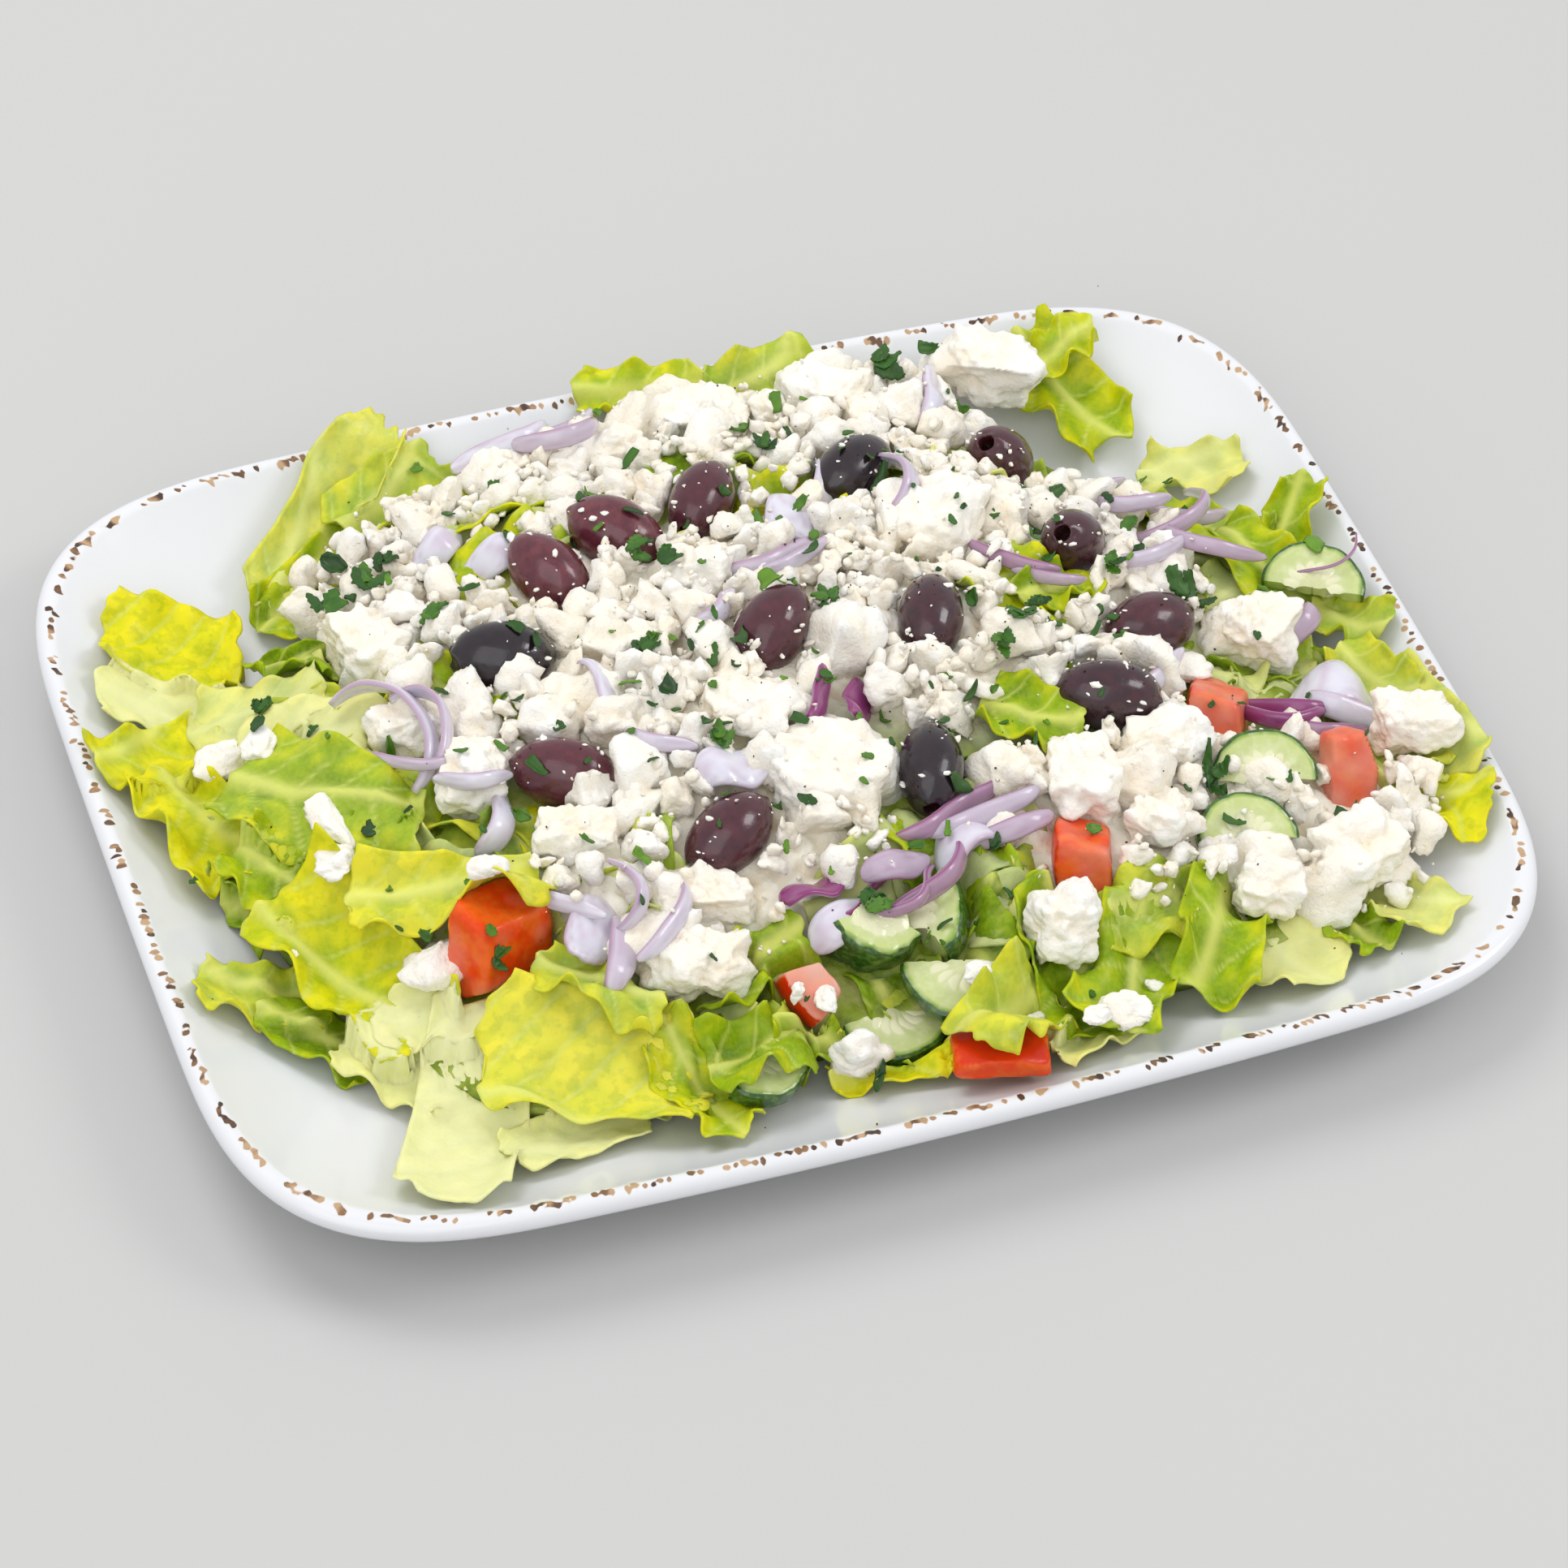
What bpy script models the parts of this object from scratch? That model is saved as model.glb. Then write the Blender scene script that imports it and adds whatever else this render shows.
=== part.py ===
"""A greek salad heaped on a shallow oblong platter.

Metres, +Z up, the platter's foot on z = 0 and the box centred on the origin in X and Y.
+X runs along the platter's long side.  The platter is one loft, the leaves are one heap with
an uneven outline, and every olive, feta chunk, tomato piece, cucumber slice and larger onion
petal is a solid of its own, half sunk in the heap.
"""
import itertools
import math

import bmesh
import bpy
import numpy as np
from mathutils import Euler, Matrix, Vector
from mathutils.bvhtree import BVHTree

MM = 0.001

# Platter: the crest is the top line of the rim.
CREST_LENGTH = 300 * MM
CREST_WIDTH = 227 * MM
CREST_HEIGHT = 22 * MM
CORNER = 68 * MM                # reach of a rounded corner
CORNER_POWER = 3.2              # 2 is a circular corner, more is squarer
LONG_BOW = 5.3 * MM             # how far the long sides bulge
SHORT_BOW = 1.4 * MM
LIP_RADIUS = 2.6 * MM
FLOOR_TOP = 5 * MM
FLOOR_UNDER = 1.5 * MM
WALL_RUN = 39 * MM              # plan width of the curved wall
FOOT_OUTER = 37.5 * MM          # plan distance in from the crest
FOOT_INNER = 41.5 * MM
UNDER_RUN = 41 * MM             # plan distance in from the crest where the underside is lowest
LIP_UNDER, LIP_OVER = -60, 130  # the lip's arc in degrees, from its outer side over the top
CORNER_STEPS = 7
LONG_STEPS = 5
SHORT_STEPS = 4

# Heap of leaves: a squarish dome with lobes and hollows round its edge.
HEAP_CENTRE = (2 * MM, 4 * MM)
HEAP_HALF = (141 * MM, 104 * MM)
HEAP_POWER = 3.0
HEAP_PEAK = 33 * MM             # depth of leaves at the middle
HEAP_EDGE = 4 * MM              # depth of leaves at the edge
HEAP_AROUND = 46
HEAP_RINGS = (0.2, 0.4, 0.58, 0.74, 0.88, 1.0)
HEAP_UNDER_RINGS = (0.62, 0.82, 1.0)
# (direction in degrees, half spread in degrees, how far the edge moves out)
EDGE_LOBES = (
    (32, 11, -16 * MM), (55, 12, 6 * MM), (90, 20, 4 * MM), (148, 13, -17 * MM),
    (181, 14, 4 * MM), (207, 9, -13 * MM), (221, 9, 10 * MM), (250, 14, -6 * MM),
    (324, 15, 11 * MM),
)
GAP = 0.35 * MM                 # clear space kept between neighbouring solids

OLIVE_LENGTH = 24.5 * MM
OLIVE_WIDTH = 16 * MM
# x, y in mm; heading and pitch in degrees point to the pitted end; relative size
OLIVES = (
    (-38, 50, -58, -22, 1.0), (-19, 59, -40, -15, 1.02), (4, 65, -129, -5, 0.96),
    (41, 64, -150, 0, 0.98), (80, 67, -157, 58, 0.95), (82, 27, -141, 52, 0.97),
    (39, 8, -114, -6, 0.98), (2, 12, -143, -24, 1.02), (-57, 26, 165, 3, 1.0),
    (90, -1, 9, -8, 0.98), (70, -24, -16, -8, 1.05), (23, -35, -108, -8, 0.98),
    (-54, -11, -28, -6, 1.03), (-25, -38, -153, -14, 1.0),
)
OLIVE_LIFT = 1.5 * MM
NIPPLE_NARROWING = 0.12         # how much slimmer the nipple's half is
OLIVE_SHOULDER = 0.97           # share of the half length that the skin's rings reach
DIMPLE_FLOOR = 0.86             # the same for the bottom of the pitted end's dimple

# x, y; length, depth, height in mm; heading in degrees; how far the middle stands above the heap
FETA = (
    (-8, -8, 25, 13, 12, -10, 1), (1, -31, 26, 19, 15, -28, 0), (51, 41, 20, 19, 16, -35, 1),
    (86, 98, 28, 12, 12, -34, 10), (17, 100, 27, 12, 11, -22, 1), (-8, 98, 18, 12, 11, -12, 1),
    (47, 100, 21, 12, 11, -25, 2), (115, -5, 21, 16, 14, -30, 2), (136, -45, 20, 12, 11, -20, 6),
    (38, -79, 14, 15, 13, -10, 5), (56, -44, 15, 19, 15, -20, 0), (78, -39, 18, 10, 10, -12, 0),
    (69, -58, 13, 12, 11, -30, 2), (112, -74, 20, 15, 13, 20, 3), (87, -79, 14, 11, 10, -15, 3),
    (-43, -66, 24, 13, 12, -20, 2), (-33, -52, 24, 10, 10, -26, 0), (-8, 38, 24, 11, 11, -20, 1),
    (-73, -4, 14, 15, 13, -15, 1), (-80, 16, 20, 11, 11, -5, 1), (-82, 49, 14, 18, 14, 10, 1),
    (-58, -28, 24, 10, 10, -18, 0),
)
FETA_CUTS = 2
FETA_ROUGH = 0.052              # crumbling, as a share of the chunk's mean size
FETA_ROUNDING = 0.42            # how far the block's corners are drawn in towards a ball
FETA_BALL = 1.08                # that ball's radius, as a share of the half sides

# x, y; radius and thickness of the whole round in mm; arc kept in degrees; yaw, tilt; lift
CUCUMBER = (
    (99, -46, 12, 4.5, 180, -15, 34, 2), (89, -60, 11.5, 4.5, 180, -10, 30, 2),
    (17, -67, 15, 9, 90, -65, 15, -2), (-4, -71, 12, 12, 120, -170, -25, 2),
    (13, -87, 14, 4, 180, 165, -10, 2), (0, -88, 13, 3.5, 180, 190, -8, -3),
    (-32, -94, 12, 5, 150, -135, -15, 5), (137, 10, 12, 4, 180, -30, 22, 4),
)
# x, y; radius of the tomato, wedge angle in degrees, width kept, how much of the radius the
# flesh is cut away from the core; yaw, tilt, roll; lift
TOMATO = (
    (-81, -47, 26, 58, 20, 0.45, 120, 20, 15, 1), (-20, -77, 22, 36, 10, 0.55, 200, 10, 60, 0),
    (14, -105, 26, 30, 20, 0.74, 75, -80, 0, 5), (49, -62, 26, 40, 14, 0.5, 160, 10, 20, -2),
    (96, -27, 26, 36, 15, 0.5, 150, 10, 30, -3), (118, -53, 28, 22, 24, 0.6, 5, 10, 60, 0),
)
TOMATO_ARC = 5
TOMATO_ACROSS = 3
# x, y; length, width in mm; bend of the petal in degrees; yaw, tilt, roll; lift
ONION = (
    (22, 52, 24, 12, 60, 60, 40, 10, 3), (125, -25, 24, 16, 60, -15, 10, -12, 4),
    (27, -53, 26, 11, 80, 20, 10, -20, 4), (7, -60, 20, 7, 90, 15, 10, 30, 8),
    (-12, -56, 18, 9, 60, 20, 15, -30, 6), (16, -13, 18, 10, 60, 70, 30, 60, 3),
    (-59, -52, 26, 12, 70, 60, 30, 30, 2),
)
ONION_WALL = 2.0 * MM
ONION_TIP = 0.25                # the petal's width at its ends, as a share of its middle


def material(name, colour, roughness):
    """A plain Principled material of one colour."""
    mat = bpy.data.materials.new(name)
    mat.use_nodes = True
    shader = mat.node_tree.nodes["Principled BSDF"]
    shader.inputs["Base Color"].default_value = (*colour, 1.0)
    shader.inputs["Roughness"].default_value = roughness
    mat.diffuse_color = (*colour, 1.0)
    return mat


def add_object(name, bm, mat, collection):
    """Puts a finished bmesh into a new object, shaded smooth with its sharp edges kept."""
    bmesh.ops.recalc_face_normals(bm, faces=bm.faces)
    if bm.calc_volume(signed=True) < 0:
        bmesh.ops.reverse_faces(bm, faces=bm.faces)
    bmesh.ops.triangulate(bm, faces=bm.faces)
    mesh = bpy.data.meshes.new(name)
    bm.to_mesh(mesh)
    bm.free()
    mesh.shade_smooth()
    mesh.set_sharp_from_angle(angle=math.radians(40))
    mesh.materials.append(mat)
    obj = bpy.data.objects.new(name, mesh)
    collection.objects.link(obj)
    return obj


# ---------------------------------------------------------------- platter

def outline(inset):
    """One ring of the platter: straight sides that bow out a little between squarish rounded
    corners, moved in from the crest by the inset."""
    reach = max(CORNER - 0.55 * inset, 20 * MM)
    power = max(CORNER_POWER - 9 * inset, 2.4)
    straight_x = CREST_LENGTH / 2 - inset - reach
    straight_y = CREST_WIDTH / 2 - inset - reach
    points = []
    for quarter, (sx, sy) in enumerate(((1, 1), (-1, 1), (-1, -1), (1, -1))):
        for step in range(CORNER_STEPS + 1):
            turn = math.pi / 2 * step / CORNER_STEPS
            if quarter % 2:
                turn = math.pi / 2 - turn
            x = straight_x + reach * math.cos(turn) ** (2 / power) if turn < math.pi / 2 else straight_x
            y = straight_y + reach * math.sin(turn) ** (2 / power) if turn > 0 else straight_y
            points.append((sx * x, sy * y))
        steps = LONG_STEPS if quarter % 2 == 0 else SHORT_STEPS
        corner_x, corner_y = points[-1]
        for step in range(1, steps):
            share = 1 - 2 * step / steps
            if quarter % 2 == 0:
                points.append((corner_x * share, corner_y))
            else:
                points.append((corner_x, corner_y * share))
    half_x = CREST_LENGTH / 2 - inset
    half_y = CREST_WIDTH / 2 - inset
    bowed = []
    for x, y in points:
        bow_y = LONG_BOW * y / half_y * max(0, 1 - (x / half_x) ** 2)
        bow_x = SHORT_BOW * x / half_x * max(0, 1 - (y / half_y) ** 2)
        bowed.append((x + bow_x, y + bow_y))
    return bowed


def platter_profile():
    """Insets and heights from the foot's inside, out under the wall, over the lip and down to
    the floor.  The lip is part of a circle and both walls are parabolas."""
    lip_height = CREST_HEIGHT - LIP_RADIUS
    over = math.radians(LIP_OVER)
    inner_start = -LIP_RADIUS * math.cos(over)
    inner_height = lip_height + LIP_RADIUS * math.sin(over)
    profile = [
        (FOOT_INNER + 0.5 * MM, FLOOR_UNDER), (FOOT_INNER, 0), (FOOT_OUTER, 0),
        (FOOT_OUTER - 0.6 * MM, FLOOR_UNDER + 0.2 * MM),
    ]
    under = math.radians(LIP_UNDER)
    under_rise = lip_height + LIP_RADIUS * math.sin(under) - FLOOR_UNDER
    under_end = -LIP_RADIUS * math.cos(under)
    for share in (0.3, 0.6, 0.85):
        inset = FOOT_OUTER + (under_end - FOOT_OUTER) * share
        height = FLOOR_UNDER + under_rise * ((UNDER_RUN - inset) / (UNDER_RUN - under_end)) ** 2
        profile.append((inset, height))
    for degrees in (LIP_UNDER, -15, 35, 85, LIP_OVER):
        turn = math.radians(degrees)
        profile.append((-LIP_RADIUS * math.cos(turn), lip_height + LIP_RADIUS * math.sin(turn)))
    for share in (0.12, 0.27, 0.45, 0.66, 1.0):
        rise = (inner_height - FLOOR_TOP) * (1 - share) ** 2
        profile.append((inner_start + WALL_RUN * share, FLOOR_TOP + rise))
    return profile


def build_platter(mat, collection):
    """A loft of outline rings up the profile, closed by a flat face above and one below."""
    bm = bmesh.new()
    rings = []
    for inset, height in platter_profile():
        rings.append([bm.verts.new((x, y, height)) for x, y in outline(inset)])
    for lower, upper in zip(rings, rings[1:]):
        for i in range(len(lower)):
            j = (i + 1) % len(lower)
            bm.faces.new((lower[i], lower[j], upper[j], upper[i]))
    bm.faces.new(rings[0][::-1])
    bm.faces.new(rings[-1])
    return add_object("platter", bm, mat, collection)


# ---------------------------------------------------------------- heap

def edge_reach(angle):
    """Distance from the heap's centre to its edge in one direction."""
    c, s = abs(math.cos(angle)), abs(math.sin(angle))
    reach = ((c / HEAP_HALF[0]) ** HEAP_POWER + (s / HEAP_HALF[1]) ** HEAP_POWER) ** (-1 / HEAP_POWER)
    for direction, spread, move in EDGE_LOBES:
        off = (math.degrees(angle) - direction + 180) % 360 - 180
        reach += move * math.exp(-0.5 * (off / spread) ** 2)
    return reach + 1.5 * MM * math.sin(13 * angle + 1) + 1.1 * MM * math.sin(21 * angle)


class Heap:
    """The heap's top surface as a height over each place, resting in the platter's dish."""

    def __init__(self, platter):
        bm = bmesh.new()
        bm.from_mesh(platter.data)
        self.dish_tree = BVHTree.FromBMesh(bm)
        bm.free()

    def dish(self, x, y):
        hit = self.dish_tree.ray_cast(Vector((x, y, 1)), Vector((0, 0, -1)))[0]
        return hit.z

    def top(self, x, y):
        """Dish height, plus a depth that falls from the peak to the edge, plus low lumps."""
        dx, dy = x - HEAP_CENTRE[0], y - HEAP_CENTRE[1]
        share = min(math.hypot(dx, dy) / edge_reach(math.atan2(dy, dx)), 1)
        depth = HEAP_EDGE + (HEAP_PEAK - HEAP_EDGE) * max(1 - share ** 2.2, 0) ** 0.9
        lumps = 1.5 * math.sin(x / MM / 13 + 0.5) * math.sin(y / MM / 11 - 0.7)
        lumps += 1.1 * math.sin(x / MM / 7.3 + y / MM / 9.1)
        return self.dish(x, y) + depth + lumps * MM * (1 - share ** 3)


def build_heap(heap, mat, collection):
    """Rings of points on the heap's top and on its underside, joined round the edge."""
    bm = bmesh.new()

    def ring(share, height_at):
        made = []
        for i in range(HEAP_AROUND):
            angle = math.tau * i / HEAP_AROUND
            x = HEAP_CENTRE[0] + share * edge_reach(angle) * math.cos(angle)
            y = HEAP_CENTRE[1] + share * edge_reach(angle) * math.sin(angle)
            made.append(bm.verts.new((x, y, height_at(x, y))))
        return made

    middle = bm.verts.new((*HEAP_CENTRE, heap.top(*HEAP_CENTRE)))
    rings = [ring(share, heap.top) for share in HEAP_RINGS]
    rings += [ring(share, lambda x, y: heap.dish(x, y) + 2 * GAP) for share in HEAP_UNDER_RINGS[::-1]]
    for i in range(HEAP_AROUND):
        j = (i + 1) % HEAP_AROUND
        bm.faces.new((middle, rings[0][i], rings[0][j]))
        for inner, outer in zip(rings, rings[1:]):
            bm.faces.new((inner[i], outer[i], outer[j], inner[j]))
    bm.faces.new(rings[-1][::-1])
    return add_object("salad_bed", bm, mat, collection)


# ---------------------------------------------------------------- toppings

def build_olive(name, mat, collection):
    """An oval of turned section along X: a small nipple at -X, a pitted dimple at +X."""
    bm = bmesh.new()
    bmesh.ops.create_uvsphere(bm, u_segments=9, v_segments=6, radius=1)
    for vert in bm.verts:
        along = vert.co.z
        width = 1 + NIPPLE_NARROWING * along * abs(along) if along < 0 else 1 - 0.04 * along
        x = along * OLIVE_LENGTH / 2 * OLIVE_SHOULDER
        if along < -0.99:
            x = -OLIVE_LENGTH / 2
        if along > 0.99:
            x = OLIVE_LENGTH / 2 * DIMPLE_FLOOR
        vert.co = (x, vert.co.x * width * OLIVE_WIDTH / 2, vert.co.y * width * OLIVE_WIDTH / 2)
    return add_object(name, bm, mat, collection)


def build_feta(name, size, seed, mat, collection):
    """A block whose corners are knocked in and whose faces crumble unevenly."""
    rng = np.random.default_rng(seed)
    bm = bmesh.new()
    bmesh.ops.create_cube(bm, size=1)
    bmesh.ops.subdivide_edges(bm, edges=bm.edges, cuts=FETA_CUTS, use_grid_fill=True)
    mean = sum(size) / 3
    for vert in bm.verts:
        point = Vector(vert.co) * 2
        point = point.lerp(point.normalized() * FETA_BALL, FETA_ROUNDING)
        jitter = rng.normal(0, 1, 3) * FETA_ROUGH * mean
        vert.co = Vector(point[k] * size[k] / 2 + jitter[k] for k in range(3))
    return add_object(name, bm, mat, collection)


def build_cucumber(name, radius, thickness, arc, mat, collection):
    """A round slice with a softened rim, of which only an arc is kept by two cuts."""
    bm = bmesh.new()
    bmesh.ops.create_cone(bm, cap_ends=True, segments=20, radius1=radius, radius2=radius,
                          depth=thickness)
    rims = [edge for edge in bm.edges if abs(edge.verts[0].co.z - edge.verts[1].co.z) < 1e-7]
    bmesh.ops.bevel(bm, geom=rims, offset=0.12 * thickness, segments=1, affect="EDGES")
    halves = (0.0,) if arc >= 180 else (0.0, math.radians(arc) - math.pi)
    for turn in halves:
        normal = Vector((-math.sin(turn), math.cos(turn), 0))
        cut = bmesh.ops.bisect_plane(bm, geom=bm.verts[:] + bm.edges[:] + bm.faces[:],
                                     plane_co=(0, 0.3 * MM, 0), plane_no=normal, clear_inner=True)
        edges = [item for item in cut["geom_cut"] if isinstance(item, bmesh.types.BMEdge)]
        bmesh.ops.holes_fill(bm, edges=edges, sides=0)
    middle = sum((vert.co for vert in bm.verts), Vector()) / len(bm.verts)
    bmesh.ops.translate(bm, verts=bm.verts, vec=-middle)
    return add_object(name, bm, mat, collection)


def build_tomato(name, radius, wedge, width, core_share, mat, collection):
    """A wedge of a round tomato: sections of a ring's sector, skin outside and cut off square
    towards the core, lofted across the width with the skin's radius shrinking to each side."""
    bm = bmesh.new()
    half = math.radians(wedge) / 2
    core = core_share * radius
    middle = (1 + core_share) / 2 * radius
    rings = []
    for step in range(TOMATO_ACROSS + 1):
        across = width * (step / TOMATO_ACROSS - 0.5)
        skin = math.sqrt(radius * radius - across * across)
        points = []
        for i in range(TOMATO_ARC + 1):
            turn = half * (2 * i / TOMATO_ARC - 1)
            points.append((skin * math.cos(turn), skin * math.sin(turn)))
        points += [(core, core * math.tan(half)), (core, -core * math.tan(half))]
        rings.append([bm.verts.new((x - middle, y, across)) for x, y in points])
    for lower, upper in zip(rings, rings[1:]):
        for i in range(len(lower)):
            j = (i + 1) % len(lower)
            bm.faces.new((lower[i], lower[j], upper[j], upper[i]))
    bm.faces.new(rings[0][::-1])
    bm.faces.new(rings[-1])
    return add_object(name, bm, mat, collection)


def build_onion(name, length, width, bend, mat, collection):
    """A petal: a strip bent along and across, pointed at both ends, with the onion's wall."""
    bm = bmesh.new()
    steps_along, steps_across = 7, 2
    radius = length / math.radians(bend)
    grid = []
    for i in range(steps_along + 1):
        share = 2 * i / steps_along - 1
        turn = math.radians(bend) / 2 * share
        half = width / 2 * (ONION_TIP + (1 - ONION_TIP) * math.sqrt(max(1 - share * share, 0)))
        row = []
        for j in range(steps_across + 1):
            side = 2 * j / steps_across - 1
            drop = 0.22 * width * side * side
            ring = radius - drop
            row.append(bm.verts.new((ring * math.sin(turn), side * half, ring * math.cos(turn) - radius)))
        grid.append(row)
    for i in range(steps_along):
        for j in range(steps_across):
            bm.faces.new((grid[i][j], grid[i + 1][j], grid[i + 1][j + 1], grid[i][j + 1]))
    obj = add_object(name, bm, mat, collection)
    wall = obj.modifiers.new("wall", "SOLIDIFY")
    wall.thickness = ONION_WALL
    wall.offset = 0
    wall.use_even_offset = True
    return obj


def put(obj, heap, x, y, lift, rotation):
    """Sets a topping's middle a given lift above the heap's top."""
    x, y = x * MM, y * MM
    obj.location = (x, y, heap.top(x, y) + lift)
    obj.rotation_euler = rotation


def degrees(*angles):
    return Euler([math.radians(angle) for angle in angles], "XYZ")


def build_toppings(heap, mats, collection):
    """Every topping in its place; returns them in order."""
    made = []
    for i, (x, y, heading, pitch, size) in enumerate(OLIVES, 1):
        obj = build_olive(f"olive_{i:02d}", mats["olive"], collection)
        obj.data.transform(Matrix.Scale(size, 4))
        put(obj, heap, x, y, OLIVE_LIFT, degrees(0, -pitch, heading))
        made.append(obj)
    for i, (x, y, length, depth, height, heading, lift) in enumerate(FETA, 1):
        size = (length * MM, depth * MM, height * MM)
        obj = build_feta(f"feta_{i:02d}", size, i, mats["feta"], collection)
        put(obj, heap, x, y, lift * MM, degrees(0, 0, heading))
        made.append(obj)
    for i, (x, y, radius, thickness, arc, yaw, tilt, lift) in enumerate(CUCUMBER, 1):
        obj = build_cucumber(f"cucumber_{i:02d}", radius * MM, thickness * MM, arc,
                             mats["cucumber"], collection)
        put(obj, heap, x, y, lift * MM, degrees(tilt, 0, yaw))
        made.append(obj)
    for i, (x, y, radius, wedge, width, core, yaw, tilt, roll, lift) in enumerate(TOMATO, 1):
        obj = build_tomato(f"tomato_{i:02d}", radius * MM, wedge, width * MM, core,
                           mats["tomato"], collection)
        put(obj, heap, x, y, lift * MM, degrees(90 + roll, tilt, yaw))
        made.append(obj)
    for i, (x, y, length, width, bend, yaw, tilt, roll, lift) in enumerate(ONION, 1):
        obj = build_onion(f"onion_{i:02d}", length * MM, width * MM, bend, mats["onion"], collection)
        put(obj, heap, x, y, lift * MM, degrees(roll, tilt, yaw))
        made.append(obj)
    return made


def evaluated_copy(obj):
    """The object's mesh with its modifiers, in world space."""
    graph = bpy.context.evaluated_depsgraph_get()
    mesh = bpy.data.meshes.new_from_object(obj.evaluated_get(graph))
    mesh.transform(obj.matrix_world)
    return mesh


def cutter_points(topping):
    """Points whose convex hull holds the topping: the corners of its own box round a block,
    the middles of the box's edges round an oval, and the mesh's own points round the rest."""
    corners = [Vector(corner) for corner in topping.bound_box]
    if topping.name.startswith("feta"):
        points = corners
    elif topping.name.startswith("olive"):
        points = []
        for first, second in itertools.combinations(corners, 2):
            shared = sum(abs(a - b) < 1e-6 for a, b in zip(first, second))
            if shared == 2:
                points.append((first + second) / 2)
    else:
        mesh = evaluated_copy(topping)
        return [Vector(vert.co) for vert in mesh.vertices]
    return [topping.matrix_world @ point for point in points]


def swollen_cutter(topping, collection):
    """The hull round a topping, with every point moved out along its normal by the gap."""
    bm = bmesh.new()
    for point in cutter_points(topping):
        bm.verts.new(point)
    hull = bmesh.ops.convex_hull(bm, input=bm.verts)
    inner = {item for item in hull["geom_interior"] if isinstance(item, bmesh.types.BMVert)}
    bmesh.ops.delete(bm, geom=list(inner), context="VERTS")
    bmesh.ops.recalc_face_normals(bm, faces=bm.faces)
    bm.normal_update()
    for vert in bm.verts:
        least = min(vert.normal.dot(face.normal) for face in vert.link_faces)
        vert.co += vert.normal * GAP / max(least, 0.4)
    mesh = bpy.data.meshes.new("cutter_" + topping.name)
    bm.to_mesh(mesh)
    bm.free()
    cutter = bpy.data.objects.new("cutter_" + topping.name, mesh)
    cutter.hide_render = True
    cutter.display_type = "WIRE"
    collection.objects.link(cutter)
    return cutter


def keep_largest(mesh):
    """Deletes every loose island but the one with most corners."""
    bm = bmesh.new()
    bm.from_mesh(mesh)
    left = set(bm.verts)
    islands = []
    while left:
        stack = [left.pop()]
        island = list(stack)
        while stack:
            for edge in stack.pop().link_edges:
                for vert in edge.verts:
                    if vert in left:
                        left.remove(vert)
                        stack.append(vert)
                        island.append(vert)
        islands.append(island)
    islands.sort(key=len)
    for island in islands[:-1]:
        bmesh.ops.delete(bm, geom=island, context="VERTS")
    bmesh.ops.dissolve_limit(bm, angle_limit=math.radians(0.5), verts=bm.verts, edges=bm.edges)
    bm.to_mesh(mesh)
    bm.free()


def cut_heap(bed, toppings, cutters):
    """Hollows the heap where each topping sits and drops any crumb cut loose."""
    for topping in toppings:
        cutter = swollen_cutter(topping, cutters)
        cut = bed.modifiers.new("cut_" + topping.name, "BOOLEAN")
        cut.operation = "DIFFERENCE"
        cut.solver = "EXACT"
        cut.object = cutter
    bpy.context.view_layer.update()
    mesh = evaluated_copy(bed)
    keep_largest(mesh)
    bed.modifiers.clear()
    bed.data = mesh


def main():
    for obj in list(bpy.data.objects):
        bpy.data.objects.remove(obj, do_unlink=True)
    collection = bpy.data.collections.new("greek_salad")
    cutters = bpy.data.collections.new("cutters")
    bpy.context.scene.collection.children.link(collection)
    bpy.context.scene.collection.children.link(cutters)
    mats = {
        "glaze": material("white_glaze", (0.86, 0.87, 0.89), 0.12),
        "leaf": material("lettuce", (0.42, 0.60, 0.08), 0.40),
        "olive": material("olive_skin", (0.055, 0.012, 0.022), 0.22),
        "feta": material("feta_cheese", (0.88, 0.85, 0.76), 0.60),
        "cucumber": material("cucumber_flesh", (0.45, 0.62, 0.26), 0.30),
        "tomato": material("tomato_flesh", (0.72, 0.08, 0.03), 0.25),
        "onion": material("red_onion", (0.70, 0.52, 0.66), 0.28),
    }
    platter = build_platter(mats["glaze"], collection)
    heap = Heap(platter)
    bed = build_heap(heap, mats["leaf"], collection)
    toppings = build_toppings(heap, mats, collection)
    bpy.context.view_layer.update()
    cut_heap(bed, toppings, cutters)


main()
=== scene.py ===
"""A greek salad on a shallow white platter: chopped lettuce, crumbled feta, pitted olives, tomato,
cucumber, red onion and parsley, heaped inside a rim with a ring of brown fleck pits.

Working sizes are in millimetres and turned into metres when a mesh is made.  Every piece is a
surface worked out as whole arrays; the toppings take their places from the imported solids, and
loose things are laid on a height map of what already lies below them.
"""
import itertools
import math

import bpy
import numpy as np
from mathutils import Matrix, Vector


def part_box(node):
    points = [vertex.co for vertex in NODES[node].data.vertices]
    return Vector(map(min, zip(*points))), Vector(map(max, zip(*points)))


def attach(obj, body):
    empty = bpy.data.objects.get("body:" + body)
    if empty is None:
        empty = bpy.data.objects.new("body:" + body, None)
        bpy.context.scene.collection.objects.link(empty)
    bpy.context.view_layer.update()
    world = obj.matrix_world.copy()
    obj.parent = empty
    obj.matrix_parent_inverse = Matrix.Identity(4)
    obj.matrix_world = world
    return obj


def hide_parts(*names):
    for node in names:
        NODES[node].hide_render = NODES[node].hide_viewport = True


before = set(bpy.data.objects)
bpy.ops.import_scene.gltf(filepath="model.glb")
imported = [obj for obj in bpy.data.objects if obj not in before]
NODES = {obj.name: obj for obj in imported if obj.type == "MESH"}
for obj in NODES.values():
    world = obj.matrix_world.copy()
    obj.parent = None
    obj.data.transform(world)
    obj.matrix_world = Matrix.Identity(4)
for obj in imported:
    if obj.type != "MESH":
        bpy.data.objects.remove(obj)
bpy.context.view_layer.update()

MM = 0.001


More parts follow.
